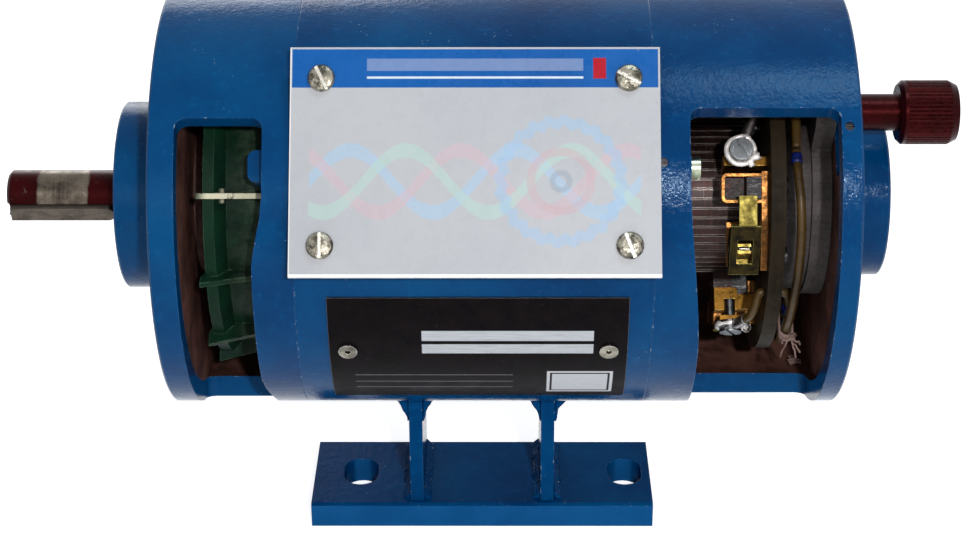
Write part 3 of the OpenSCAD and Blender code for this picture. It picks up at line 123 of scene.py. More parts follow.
class Shade(Nodes):
    """A node material under construction."""

    def __init__(self, name):
        self.material = bpy.data.materials.new(name)
        self.material.use_nodes = True
        super().__init__(self.material.node_tree)
        self.tree.nodes.clear()
        self.shader = self.add("BsdfPrincipled")
        self.add("OutputMaterial", {0: self.shader.outputs[0]})
        self.place = self.add("TexCoord").outputs["Object"]
        geometry = self.add("NewGeometry").outputs
        self.normal = geometry["Normal"]
        self.flat_normal = geometry["True Normal"]

    def plus(self, total, *values, clamp=False):
        for value in values:
            total = self.maths("ADD", total, value, clamp=clamp)
        return total

    def times(self, total, *values):
        for value in values:
            total = self.maths("MULTIPLY", total, value)
        return total

    def minus(self, a, b):
        return self.maths("SUBTRACT", a, b)

    def length(self, a, b):
        return self.maths("SQRT", self.plus(self.times(a, a), self.times(b, b)))

    def dot(self, a, b):
        return self.add("VectorMath", {0: a, 1: b}, operation="DOT_PRODUCT").outputs["Value"]

    def facing(self, way):
        """The part of a vector that points straight out of the surface."""
        return self.dot(self.flat_normal, way)

    def step(self, value, low, high, start=0.0, end=1.0):
        """Smooth step from start to end as value goes from low to high."""
        inputs = {"Value": value, "From Min": low, "From Max": high, "To Min": start, "To Max": end}
        return self.add("MapRange", inputs, interpolation_type="SMOOTHSTEP").outputs[0]

    def band(self, value, low, high, soften=0.12):
        """1 between low and high, with soft ends."""
        above = self.step(value, low - soften, low + soften)
        return self.times(above, self.step(value, high + soften, high - soften))

    def near(self, value, target, far, close):
        """1 within close of the target, 0 beyond far from it."""
        return self.step(self.maths("ABSOLUTE", self.minus(value, target)), far, close)

    def mix(self, share, a, b):
        node = self.add("Mix", {0: share, 6: a, 7: b}, data_type="RGBA", clamp_factor=True)
        return node.outputs[2]

    def fade(self, value, low, high, a, b, share=1.0):
        """Colour a, with a share of b that grows as value goes from low to high."""
        return self.mix(self.step(value, low, high, 0.0, share), a, b)

    def rub(self, colour, tint, share, radius=0.0005):
        """A colour with a share of a tint along sharp edges."""
        return self.mix(self.times(self.edges(radius), share), colour, tint)

    def noise(self, scale, detail, rough, place=None):
        inputs = {"Vector": place or self.place, "Scale": scale, "Detail": detail, "Roughness": rough}
        return self.add("TexNoise", inputs).outputs[0]

    def streaks(self, scales, detail, rough, place=None, scale=1.0):
        """Noise with a scale of its own along each axis."""
        stretched = self.add("Mapping", {"Vector": place or self.place, "Scale": scales}).outputs[0]
        return self.noise(scale, detail, rough, stretched)

    def spots(self, scale, low, high, place=None, share=1.0):
        """A share at the middle of scattered cells, 0 between them."""
        cells = self.add("TexVoronoi", {"Vector": place or self.place, "Scale": scale}).outputs["Distance"]
        return self.step(cells, low, high, 0.0, share)

    def axes(self, place=None):
        return self.add("SeparateXYZ", {0: place or self.place}).outputs

    def facing_ends(self):
        """1 on surfaces square to the motor axis, 0 on those along it."""
        return self.maths("ABSOLUTE", self.axes(self.flat_normal)[0])

    def polar(self):
        """x, distance from the motor axis, and angle about it in radians (0 at -Y, towards +Z)."""
        x, y, z = self.axes()
        up = self.minus(z, AXIS_H)
        out = self.times(y, -1.0)
        return x, self.length(out, up), self.maths("ARCTAN2", up, out)

    def off_axis(self):
        """Vector from the motor axis to the place."""
        x, y, z = self.axes()
        return self.add("CombineXYZ", {0: 0.0, 1: y, 2: self.minus(z, AXIS_H)}).outputs[0]

    def along_set(self):
        """Distance along the turn from the middle of the nearest brush, in metres."""
        x, r, angle = self.polar()
        off = self.minus(angle, radians(FIRST_BRUSH))
        half = radians(SET_PITCH / 2)
        return self.times(r, self.maths("SINE", self.maths("WRAP", off, half, -half)))

    def rounded(self, radius):
        return self.add("Bevel", {"Radius": radius}, samples=6).outputs[0]

    def edges(self, radius, low=0.03, high=0.25):
        """1 at sharp edges, 0 elsewhere."""
        return self.step(self.minus(1.0, self.dot(self.rounded(radius), self.normal)), low, high)

    def finish(self, colour, rough, height, strength, distance=0.0002, radius=0.0, metallic=0.0, specular=0.5,
               tint=(1, 1, 1, 1)):
        """Connect the surface, with relief on edges rounded by the radius, and give the material.

        rough is a roughness, or a noise with the lowest and the highest roughness that it gives.
        """
        if isinstance(rough, tuple):
            rough = self.step(rough[0], 0.3, 0.7, *rough[1:])
        bump = self.add("Bump", {"Height": height, "Strength": strength, "Distance": distance})
        if radius:
            self.put(bump, {"Normal": self.rounded(radius)})
        self.put(self.shader, {"Base Color": colour, "Roughness": rough, "Normal": bump.outputs[0],
                               "Metallic": metallic, "Specular IOR Level": specular, "Specular Tint": tint})
        return self.material


# Paint
PAINT = srgb(1, 58, 108)
PAINT_LIGHT = srgb(3, 74, 124)
PAINT_DARK = srgb(0, 45, 90)
PRIMER = srgb(112, 75, 66)
PRIMER_DARK = srgb(64, 43, 38)
PAINT_GLOSS = 0.09
PAINT_SHEEN = srgb(206, 236, 255)
PAINT_BUMPS = 0.26
PAINT_DEPTH = 0.0006


def painted(shade, seed=0.0, scuffs=0.35, swell=2.0):
    """Brushed enamel: colour, roughness and height of the blue coat."""
    shift = (seed, seed * 0.7, seed * 1.3)
    place = shade.add("VectorMath", {0: shade.place, 1: shift}, operation="ADD").outputs[0]
    broad = shade.noise(16, 4, 0.6, place)
    peel = shade.noise(300, 3, 0.55, place)
    grain = shade.noise(900, 3, 0.6, place)
    colour = shade.fade(broad, 0.35, 0.75, PAINT, PAINT_LIGHT)
    colour = shade.fade(broad, 0.5, 0.25, colour, PAINT_DARK, 0.6)
    colour = shade.fade(peel, 0.55, 0.75, colour, srgb(12, 96, 152), 0.22)
    colour = shade.fade(peel, 0.42, 0.25, colour, PAINT_DARK, 0.25)
    specks = shade.spots(520, 0.16, 0.08, place)
    specks = shade.times(specks, shade.step(shade.noise(60, 2, 0.5, place), 0.6, 0.68))
    colour = shade.mix(shade.times(specks, 0.5), colour, srgb(150, 178, 196))
    scratches = shade.step(shade.streaks((60, 900, 500), 3, 0.7, place), 0.7, 0.78)
    scratches = shade.times(scratches, shade.step(shade.noise(22, 2, 0.5, place), 0.5, 0.62))
    colour = shade.mix(shade.times(scratches, scuffs), colour, srgb(50, 116, 168))
    edge = shade.edges(0.0010)
    worn = shade.step(shade.noise(160, 4, 0.7, place), 0.42, 0.6)
    colour = shade.mix(shade.times(edge, worn, 0.5), colour, srgb(56, 112, 164))
    chipped = shade.step(shade.noise(420, 3, 0.7, place), 0.6, 0.65)
    colour = shade.mix(shade.times(edge, chipped, 0.8), colour, srgb(196, 206, 210))
    rough = shade.plus(shade.step(peel, 0.3, 0.7, 0.09, 0.17), shade.times(scratches, 0.2))
    height = shade.plus(peel, shade.times(grain, 0.7), shade.times(specks, 0.9), shade.times(broad, swell))
    return colour, rough, height


def coated(shade, colour, rough, height, gloss=PAINT_GLOSS, bumps=PAINT_BUMPS):
    return shade.finish(colour, rough, height, bumps, PAINT_DEPTH, PAINT_DEPTH, specular=gloss,
                        tint=PAINT_SHEEN)


def blue_paint(name, seed=0.0, scuffs=0.35, swell=2.0, gloss=PAINT_GLOSS, bumps=PAINT_BUMPS, front=0.0):
    """Blue paint, with a share of painted light that makes its faces towards -Y paler in patches."""
    shade = Shade(name)
    colour, rough, height = painted(shade, seed, scuffs, swell)
    if front:
        # Painted light: the faces towards -Y are made paler in patches, as if lit from the front.
        facing = shade.step(shade.facing((0.0, -1.0, 0.0)), 0.8, 0.95)
        amount = shade.step(shade.noise(70, 4, 0.6), 0.3, 0.7, 0.7 * front, front)
        colour = shade.mix(shade.times(facing, amount), colour, srgb(24, 92, 150))
    return coated(shade, colour, rough, height, gloss, bumps)


def primer(shade):
    """Dull red-brown primer with stains and dust."""
    stains = shade.noise(55, 5, 0.65)
    colour = shade.fade(stains, 0.35, 0.68, PRIMER_DARK, PRIMER)
    return shade.fade(shade.noise(420, 4, 0.7), 0.6, 0.75, colour, srgb(92, 70, 62), 0.5), stains


def housing_paint(name, inside_from, inside_to, seed):
    """Blue outside and on the lugs, primer on the bore and on the inner faces of the end walls."""
    shade = Shade(name)
    colour, rough, height = painted(shade, seed)
    x, r, angle = shade.polar()
    inwards = shade.step(shade.facing(shade.off_axis()), -0.02, -0.05)
    bare = shade.times(shade.near(r, BORE_R, 0.0004, 0.0002), inwards)
    bare_wall = shade.times(shade.step(shade.facing_ends(), 0.9, 0.95),
                            shade.step(r, BORE_R + 0.0004, BORE_R))
    for wall_x in (inside_from, inside_to):
        bare = shade.maths("MAXIMUM", bare, shade.times(shade.near(x, wall_x, 0.0006, 0.0003), bare_wall))
    coat, stains = primer(shade)
    colour = shade.mix(bare, colour, coat)
    rough = shade.plus(rough, shade.times(bare, 0.4), clamp=True)
    height = shade.plus(height, shade.times(bare, stains, 1.5))
    return coated(shade, colour, rough, height)


def primed(name):
    shade = Shade(name)
    colour, stains = primer(shade)
    fine = shade.noise(700, 4, 0.65)
    return shade.finish(colour, (fine, 0.55, 0.8), shade.plus(stains, fine), 0.35, 0.0004, 0.0004,
                        specular=0.3)


# Metals
def metal(name, light, dark, rough=0.3, grain=(1, 1, 1), grain_scale=400, stain=0.6, strength=0.2, edge=None,
          metallic=1.0):
    """Bare or plated metal with grain, stains and brighter edges."""
    shade = Shade(name)
    lines = shade.streaks(grain, 3, 0.6, scale=grain_scale)
    patches = shade.noise(110, 5, 0.65)
    colour = shade.fade(patches, 0.36, 0.66, light, dark, stain)
    colour = shade.fade(lines, 0.4, 0.7, colour, dark, 0.35)
    colour = shade.rub(colour, edge or light, 0.6, 0.0004)
    roughness = shade.plus(shade.step(patches, 0.35, 0.7, rough * 0.7, rough * 1.5),
                           shade.step(lines, 0.3, 0.7, -0.04, 0.08))
    height = shade.plus(lines, shade.times(patches, 0.5))
    return shade.finish(colour, roughness, height, strength, radius=0.00025, metallic=metallic)


def slotted_zinc():
    """Plated screw heads of the sign: worn grey-gold, with a painted highlight on the floor of the slots and
    painted shade on their sides.
    """
    shade = Shade("slotted_zinc")
    a = radians(SIGN_ELEVATION)
    outwards = (0.0, -cos(a), sin(a))
    facing = shade.facing(outwards)
    high = shade.dot(shade.off_axis(), outwards)
    patches = shade.noise(330, 4, 0.65)
    fine = shade.noise(1500, 4, 0.65)
    colour = shade.fade(patches, 0.4, 0.62, srgb(150, 144, 130), srgb(62, 58, 50))
    colour = shade.fade(fine, 0.56, 0.7, colour, srgb(220, 214, 200), 0.5)
    colour = shade.rub(colour, srgb(226, 222, 212), 0.5, 0.0004)
    # Painted highlight: the floor of the slots, facing out of the sign, is made pale.
    slot_highlight = shade.times(shade.near(high, SLOT_FLOOR_R, 0.0002, 0.0001), shade.step(facing, 0.99, 0.998))
    colour = shade.mix(slot_highlight, colour, srgb(204, 200, 188))
    # Painted shade: the sides of the slots, and other steep faces of the heads above their floor, are made
    # nearly black.
    side = shade.times(shade.step(facing, 0.3, 0.1), shade.step(high, SLOT_FLOOR_R, SLOT_FLOOR_R + 0.0001))
    colour = shade.mix(side, colour, srgb(20, 18, 16))
    return shade.finish(colour, (patches, 0.22, 0.4), shade.plus(patches, fine), 0.4, radius=0.0002,
                        metallic=0.9)


# Where the red paint of the shaft comes in along X
TIP_PAINT = (-0.1700, -0.1712)
HUB_PAINT = (-0.1518, -0.1508)
BEFORE_SEAL = (-0.1330, -0.1345)
BEHIND_END = (-0.18245, -0.18225)


def shaft_metal():
    """Turned steel with red paint bands, machining rings and rust specks."""
    shade = Shade("shaft_metal")
    x = shade.axes()[0]
    wobble = shade.times(shade.minus(shade.noise(130, 4, 0.6), 0.5), 0.003)
    along = shade.plus(x, wobble)
    rings = shade.streaks((6000, 40, 40), 2, 0.5)
    patches = shade.noise(90, 5, 0.7)
    steel = shade.fade(patches, 0.35, 0.7, srgb(104, 95, 84), srgb(50, 43, 38))
    steel = shade.fade(rings, 0.45, 0.7, steel, srgb(124, 114, 102), 0.25)
    rust = shade.step(shade.noise(300, 5, 0.7), 0.58, 0.7, 0.0, 0.7)
    steel = shade.mix(rust, steel, srgb(64, 34, 26))
    red = shade.fade(shade.noise(60, 4, 0.6), 0.35, 0.7, srgb(46, 5, 8), srgb(20, 3, 5))
    bands = shade.plus(shade.step(along, *TIP_PAINT), shade.step(along, *HUB_PAINT), clamp=True)
    kept = shade.minus(1.0, shade.step(shade.noise(220, 5, 0.7), 0.6, 0.68))
    red_here = shade.times(bands, kept, shade.step(x, *BEFORE_SEAL), shade.step(x, *BEHIND_END))
    rough = shade.plus(shade.step(patches, 0.3, 0.7, 0.24, 0.42), shade.times(rust, 0.25))
    height = shade.plus(shade.times(rings, 0.5), shade.times(red_here, 0.6))
    return shade.finish(shade.mix(red_here, steel, red), rough, height, 0.3, radius=0.0004,
                        metallic=shade.minus(0.9, shade.times(red_here, 0.9)), specular=0.12,
                        tint=shade.mix(red_here, (1, 1, 1, 1), srgb(255, 140, 136)))


def copper_bars():
    """Run commutator bars: dark brown film, streaks along the turn, a different tone on each, bright rims."""
    shade = Shade("copper_bars")
    number = shade.maths("FLOOR", shade.times(shade.polar()[2], COMMUTATOR_BARS / (2 * pi)))
    tone = shade.add("TexWhiteNoise", {"W": number}, noise_dimensions="1D").outputs[0]
    streaks = shade.streaks((1500, 90, 90), 4, 0.6)
    patches = shade.noise(160, 4, 0.6)
    film = shade.mix(shade.step(tone, 0.0, 1.0, 0.1, 0.9), srgb(56, 36, 34), srgb(30, 20, 20))
    film = shade.fade(streaks, 0.45, 0.7, film, srgb(84, 54, 46), 0.6)
    film = shade.fade(patches, 0.56, 0.74, film, srgb(78, 26, 28), 0.7)
    film = shade.fade(patches, 0.42, 0.3, film, srgb(24, 17, 17), 0.6)
    rim = shade.times(shade.edges(0.0005, 0.02, 0.16), shade.step(patches, 0.34, 0.52, 0.3, 0.9))
    film = shade.mix(rim, film, srgb(216, 202, 196))
    return shade.finish(film, (streaks, 0.34, 0.52), shade.plus(streaks, patches), 0.25, metallic=0.6)


# Non-metals
def matt(name, light, dark, rough=0.6, scale=200, strength=0.4, specks=None, specular=0.12):
    """Mica, rubber, sleeve or string with mottling, fine grain and dust."""
    shade = Shade(name)
    broad = shade.noise(scale * 0.25, 4, 0.6)
    fine = shade.noise(scale * 4, 4, 0.65)
    colour = shade.fade(broad, 0.35, 0.7, light, dark)
    colour = shade.fade(shade.noise(scale * 1.3, 5, 0.75), 0.58, 0.72, colour, specks or light, 0.45)
    colour = shade.rub(colour, specks or light, 0.4)
    return shade.finish(colour, (fine, rough * 0.8, min(1.0, rough * 1.2)), fine, strength, radius=0.0003,
                        specular=specular)


def carbon():
    """Carbon brush: rubbed grey on its high step, red-brown copper dust on the low one."""
    shade = Shade("carbon")
    broad = shade.noise(160, 4, 0.65)
    fine = shade.noise(1100, 4, 0.65)
    grey = shade.fade(broad, 0.35, 0.7, srgb(44, 40, 42), srgb(20, 17, 18))
    scratches = shade.streaks((260, 1500, 1500), 4, 0.7)
    rubbed = shade.times(shade.step(scratches, 0.5, 0.66), shade.step(broad, 0.42, 0.56))
    grey = shade.mix(shade.times(rubbed, 0.85), grey, srgb(176, 170, 170))
    dusty = shade.fade(broad, 0.4, 0.62, srgb(24, 12, 11), srgb(70, 24, 20))
    dusty = shade.fade(scratches, 0.6, 0.68, dusty, srgb(176, 92, 60), 0.8)
    colour = shade.fade(shade.axes()[0], BRUSH_STEP_X + 0.0003, BRUSH_STEP_X, grey, dusty)
    colour = shade.rub(colour, srgb(108, 102, 106), 0.5, 0.0004)
    return shade.finish(colour, (fine, 0.32, 0.5), fine, 0.4, radius=0.0003, specular=0.15)


def lit_and_shaded_brass(shade):
    """Colours of green brass, lit and in painted shade, and the noises that they share."""
    patches = shade.noise(260, 5, 0.65)
    fine = shade.noise(900, 4, 0.6)
    bright = shade.fade(patches, 0.36, 0.66, srgb(118, 106, 50), srgb(76, 66, 26))
    shaded_brass = shade.fade(patches, 0.36, 0.66, srgb(44, 36, 12), srgb(20, 16, 7))
    return bright, shaded_brass, patches, fine


def finger_brass():
    """Bright brass on the finger's head; the lower leaf, which bends away and faces down, is painted dark
    olive as shade.
    """
    shade = Shade("finger_brass")
    bright, shaded_brass, patches, fine = lit_and_shaded_brass(shade)
    # Painted shade: past the bend, the finger's lower leaf is given the dark colour.
    colour = shade.fade(shade.along_set(), FINGER_BEND_T + 0.0006, FINGER_BEND_T - 0.0008, bright, shaded_brass)
    colour = shade.fade(fine, 0.55, 0.72, colour, srgb(90, 70, 24), 0.3)
    colour = shade.rub(colour, srgb(200, 188, 108), shade.step(fine, 0.35, 0.55, 0.3, 0.9), 0.0004)
    return shade.finish(colour, (patches, 0.36, 0.56), shade.plus(patches, fine), 0.3, radius=0.00025,
                        metallic=0.9)


def holder_brass():
    """Orange brass of the holders, with green brass on the posts under the fingers."""
    shade = Shade("holder_brass")
    bright, shaded_brass, patches, fine = lit_and_shaded_brass(shade)
    x, r, angle = shade.polar()
    orange = shade.fade(patches, 0.36, 0.66, srgb(100, 64, 29), srgb(44, 26, 13), 0.8)
    orange = shade.fade(fine, 0.5, 0.72, orange, srgb(96, 56, 28), 0.35)
    post = shade.times(shade.step(x, POST_X0 - 0.0002, POST_X0), shade.step(x, POST_X1 + 0.0002, POST_X1),
                       shade.step(shade.along_set(), POST_T1, POST_T1 - 0.0004),
                       shade.step(r, POST_R0, POST_R0 + 0.0006))
    colour = shade.mix(post, orange, bright)
    colour = shade.fade(shade.streaks((900, 700, 2600), 2, 0.5), 0.55, 0.64, colour, srgb(164, 118, 68), 0.3)
    colour = shade.rub(colour, srgb(184, 132, 72), shade.step(fine, 0.35, 0.55, 0.3, 0.9))
    return shade.finish(colour, (patches, 0.26, 0.48), shade.plus(patches, fine), 0.3, radius=0.00025,
                        metallic=0.95)


def laminate():
    """Paper laminate ring: layers on the rim, faint weave on the faces."""
    shade = Shade("laminate")
    layers = shade.streaks((9000, 60, 60), 2, 0.5)
    weave = shade.streaks((300, 1600, 300), 3, 0.6)
    patches = shade.noise(60, 5, 0.65)
    colour = shade.fade(patches, 0.35, 0.68, srgb(40, 32, 22), srgb(20, 16, 11))
    colour = shade.fade(layers, 0.45, 0.65, colour, srgb(48, 40, 29), 0.5)
    colour = shade.fade(weave, 0.55, 0.75, colour, srgb(60, 52, 38), 0.3)
    colour = shade.rub(colour, srgb(84, 74, 56), 0.3)
    return shade.finish(colour, (patches, 0.4, 0.6), shade.plus(layers, weave), 0.2, 0.00015, 0.0003,
                        specular=0.05)


def casting():
    """Rough sand casting: dark skin on the faces, a paler turned rim with marks along the axis."""
    shade = Shade("casting")
    lumps = shade.noise(700, 5, 0.7)
    patches = shade.noise(80, 4, 0.6)
    marks = shade.streaks((90, 900, 900), 3, 0.65)
    rim = shade.times(shade.step(shade.facing_ends(), 0.8, 0.5), shade.step(shade.polar()[1], 0.024, 0.027))
    skin = shade.fade(patches, 0.35, 0.7, srgb(50, 40, 39), srgb(28, 22, 22))
    turned = shade.fade(patches, 0.35, 0.7, srgb(88, 79, 78), srgb(58, 50, 49))
    turned = shade.fade(marks, 0.45, 0.7, turned, srgb(54, 46, 48), 0.6)
    colour = shade.mix(rim, skin, turned)
    colour = shade.fade(lumps, 0.55, 0.7, colour, srgb(124, 116, 114), 0.45)
    colour = shade.rub(colour, srgb(150, 144, 150), 0.4, 0.0006)
    return shade.finish(colour, (lumps, 0.45, 0.7), shade.plus(lumps, patches), 0.7, 0.0004, 0.0006,
                        metallic=0.3)


# Where the fan's paint is scuffed, and rubbed off on one blade inside the rim
SCUFF_R = (0.048, 0.063)
SCUFF_X = (-0.094, -0.082)
RUBBED_R = (0.0563, 0.0575)
RUBBED_X = (-0.1022, -0.0975)
RIM_R = (0.0607, 0.0612)


def fan_paint():
    """Green enamel, worn to cream along the rim of one blade and scuffed near the others' rims, with a
    painted highlight on the front of the rim.
    """
    shade = Shade("fan_paint")
    x, r, angle = shade.polar()
    patches = shade.noise(70, 5, 0.65)
    fine = shade.noise(420, 4, 0.65)
    wear = shade.noise(260, 4, 0.7)
    colour = shade.fade(patches, 0.32, 0.7, srgb(13, 42, 28), srgb(8, 23, 16))
    colour = shade.fade(fine, 0.55, 0.75, colour, srgb(26, 64, 44), 0.35)
    # Painted highlight: the front of the rim, towards -X, is made a paler green.
    front = shade.step(x, FAN_RIM_X1 + 0.004, FAN_RIM_X1)
    colour = shade.mix(shade.times(front, 0.2), colour, srgb(26, 66, 48))
    scuff = shade.times(shade.step(r, *SCUFF_R, 0.0, 0.5), shade.step(x, *SCUFF_X),
                        shade.step(shade.noise(120, 4, 0.7), 0.36, 0.6))
    colour = shade.mix(scuff, colour, srgb(84, 98, 80))
    off_rim = shade.maths("MAXIMUM", shade.step(r, *RIM_R),
                          shade.step(x, FAN_RIM_X1 + 0.001, FAN_RIM_X1 + 0.003))
    rubbed = shade.times(shade.near(angle, radians(FAN_BLADE), 0.05, 0.04), shade.step(r, *RUBBED_R),
                         shade.step(wear, 0.3, 0.42), off_rim, shade.step(x, *RUBBED_X))
    colour = shade.rub(colour, srgb(110, 138, 104), shade.step(wear, 0.4, 0.55, 0.0, 0.45), 0.0009)
    colour = shade.mix(rubbed, colour, srgb(214, 208, 180))
    return shade.finish(colour, (fine, 0.3, 0.5), shade.plus(patches, fine), 0.4, 0.0003, 0.0004,
                        specular=0.07)


def stacked_sheets():
    """Core of thin steel sheets, stacked along the axis."""
    shade = Shade("stacked_sheets")
    sheets = shade.streaks((2200, 4, 4), 1, 0.5)
    colour = shade.fade(sheets, 0.4, 0.6, srgb(96, 90, 86), srgb(48, 42, 40))
    colour = shade.fade(shade.noise(70, 4, 0.6), 0.45, 0.7, colour, srgb(84, 52, 38), 0.6)
    return shade.finish(colour, 0.5, sheets, 0.6, 0.0003, metallic=0.6)


def wound_copper():
    """Enamelled wire, laid side by side round the axis."""
    shade = Shade("wound_copper")
    wires = shade.add("TexWave", {"Vector": shade.place, "Scale": 260.0, "Distortion": 1.4, "Detail": 2.0},
                      wave_type="RINGS", rings_direction="X").outputs[0]
    colour = shade.mix(wires, srgb(74, 30, 14), srgb(168, 84, 40))
    colour = shade.fade(shade.noise(80, 4, 0.6), 0.45, 0.7, colour, srgb(60, 34, 20), 0.6)
    return shade.finish(colour, 0.35, wires, 0.8, 0.0006, metallic=0.4)


def red_enamel():
    """Dark red enamel over turned steel, with a painted highlight of paler red on patches of its edges."""
    shade = Shade("red_enamel")
    patches = shade.noise(90, 4, 0.6)
    fine = shade.noise(600, 4, 0.65)
    colour = shade.fade(patches, 0.35, 0.7, srgb(40, 5, 8), srgb(18, 3, 5))
    # Painted highlight: paler red along sharp edges, in patches.
    colour = shade.rub(colour, srgb(112, 40, 42), shade.step(fine, 0.45, 0.62, 0.0, 0.55))
    height = shade.plus(patches, shade.times(fine, 0.4))
    return shade.finish(colour, (fine, 0.22, 0.36), height, 0.3, 0.0003, 0.0003, specular=0.16,
                        tint=srgb(255, 110, 106))


# Print of the sign in mm from its middle: left, right, low and high side, share of the tint, tint
SIGN_HEADER = (-64.3, 64.3, 26.4, 40.2)
SIGN_FIELDS = (
    (-38, 38, 29.6, 30.4, 1.0, srgb(214, 222, 234)),
    (-38, 38, 32.4, 36.8, 0.25, srgb(214, 222, 234)),
    (41.5, 46.0, 29.6, 37.0, 1.0, srgb(176, 16, 36)),
)
WAVE_FIELD = (-58, 58, -34, 20)
WAVE_HEIGHT = 11.0
WAVE_LENGTH = 58.0
WAVE_MIDDLE = -7.0
WAVE_HALF = 2.6
WAVE_SOFT = 0.25
RING_MIDDLE = (30.0, -7.0)
RING_TEETH = 24.0
TOOTH_HEIGHT = 0.7


def printed(shade, u, v, left, right, low, high):
    """1 inside a printed rectangle."""
    return shade.times(shade.band(u, left, right), shade.band(v, low, high))


def sign_print():
    """Pale field, blue header, faint waves and rings, with a painted highlight along the bottom and left
    edges.
    """
    shade = Shade("sign_print")
    x, y, z = shade.axes()
    a = radians(SIGN_ELEVATION)
    up = shade.minus(z, AXIS_H)
    across = shade.plus(shade.times(y, sin(a)), shade.times(up, cos(a)))
    u = shade.minus(shade.times(x, 1 / MM), SIGN_MID_MM[0])
    v = shade.minus(shade.times(across, 1 / MM), SIGN_MID_MM[1])
    soft = shade.noise(22, 3, 0.5)
    colour = shade.fade(soft, 0.35, 0.7, srgb(188, 188, 192), srgb(176, 178, 184), 0.5)
    inner = printed(shade, u, v, *WAVE_FIELD)
    for third, tint in enumerate((srgb(168, 196, 222), srgb(206, 178, 186), srgb(180, 206, 198))):
        swing = shade.maths("SINE", shade.plus(shade.times(u, 2 * pi / WAVE_LENGTH), 2 * pi * third / 3))
        off_wave = shade.minus(v, shade.plus(shade.times(swing, WAVE_HEIGHT), WAVE_MIDDLE))
        line = shade.step(shade.maths("ABSOLUTE", off_wave), WAVE_HALF + WAVE_SOFT, WAVE_HALF - WAVE_SOFT)
        colour = shade.mix(shade.times(line, inner, 0.6), colour, tint)
    du = shade.minus(u, RING_MIDDLE[0])
    dv = shade.minus(v, RING_MIDDLE[1])
    ring_r = shade.length(du, dv)
    teeth = shade.maths("SINE", shade.times(shade.maths("ARCTAN2", dv, du), RING_TEETH))
    toothed_r = shade.plus(ring_r, shade.times(teeth, TOOTH_HEIGHT))
    for reach, low, high, tint in ((toothed_r, 19.0, 23.0, srgb(160, 190, 220)),
                                   (ring_r, 9.0, 12.0, srgb(200, 170, 176)),
                                   (ring_r, 2.0, 4.0, srgb(150, 160, 176))):
        colour = shade.mix(shade.times(shade.band(reach, low, high, 0.4), 0.55), colour, tint)
    blue = shade.fade(soft, 0.35, 0.7, srgb(6, 90, 166), srgb(3, 80, 152))
    colour = shade.mix(printed(shade, u, v, *SIGN_HEADER), colour, blue)
    for *sides, share, tint in SIGN_FIELDS:
        colour = shade.mix(shade.times(printed(shade, u, v, *sides), share), colour, tint)
    # Painted highlight: a white strip along the bottom and left edges, where the edge of the board catches
    # the light.
    edge_highlight = shade.maths("MAXIMUM", shade.step(v, -39.6, -39.8), shade.step(u, -64.5, -64.7, 0.0, 0.8))
    colour = shade.mix(edge_highlight, colour, srgb(252, 250, 248))
    colour = shade.fade(shade.facing((0.0, -cos(a), sin(a))), 0.5, 0.6, srgb(232, 226, 226), colour)
    smears = shade.noise(160, 4, 0.65)
    specks = shade.spots(260, 0.1, 0.05, share=0.5)
    specks = shade.times(specks, shade.step(shade.noise(40, 2, 0.5), 0.55, 0.65))
    colour = shade.mix(specks, colour, srgb(150, 148, 150))
    height = shade.plus(smears, shade.times(specks, 2.0))
    return shade.finish(colour, (smears, 0.22, 0.36), height, 0.08, radius=0.0003, specular=0.2)


# Print of the nameplate in mm, rolled out from the height of the axis: left, right, low and high side
PLATE_FIELDS = ((-21.0, 41.0, -23.9, -19.0), (-21.0, 41.0, -30.5, -25.6))
PLATE_RULES = ((-46.0, 12.0, -44.4, -44.05), (-46.0, 12.0, -49.4, -49.05), (-46.0, 12.0, -54.4, -54.05))
PLATE_PANEL = (24.5, 48.7, -59.0, -41.6)


def plate_print():
    """Black plate with blank writing fields and a blank pale panel."""
    shade = Shade("plate_print")
    x, r, angle = shade.polar()
    u = shade.times(x, 1 / MM)
    v = shade.times(angle, PLATE_R / MM)
    smear = shade.noise(120, 4, 0.65)
    colour = shade.fade(smear, 0.35, 0.7, srgb(8, 5, 7), srgb(18, 12, 15))
    brushed = shade.step(shade.streaks((120, 3000, 3000), 3, 0.6), 0.4, 0.7, 0.0, 0.4)
    for sides in PLATE_FIELDS:
        field = printed(shade, u, v, *sides)
        colour = shade.mix(field, colour, srgb(196, 198, 204))
        colour = shade.mix(shade.times(field, brushed), colour, srgb(140, 142, 150))
    left, right, low, high = PLATE_PANEL
    for inset, tint in ((0.0, srgb(206, 206, 210)), (1.1, srgb(24, 22, 28)), (1.9, srgb(200, 201, 206))):
        panel = printed(shade, u, v, left + inset, right - inset, low + inset, high - inset)
        colour = shade.mix(panel, colour, tint)
    for sides in PLATE_RULES:
        colour = shade.mix(shade.times(printed(shade, u, v, *sides), 0.7), colour, srgb(150, 150, 156))
    dust = shade.step(shade.noise(500, 5, 0.75), 0.6, 0.74, 0.0, 0.35)
    colour = shade.mix(shade.times(dust, 0.5), colour, srgb(84, 80, 86))
    colour = shade.rub(colour, srgb(150, 150, 156), 0.7, 0.0004)
    return shade.finish(colour, (smear, 0.24, 0.42), smear, 0.15, radius=0.0002, specular=0.04)


def add_object(name, data):
    thing = bpy.data.objects.new(name, data)
    bpy.context.scene.collection.objects.link(thing)
    return thing


def dress(material, *nodes):
    for name in nodes:
        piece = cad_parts[name]
        piece.data.materials.clear()
        piece.data.materials.append(material)


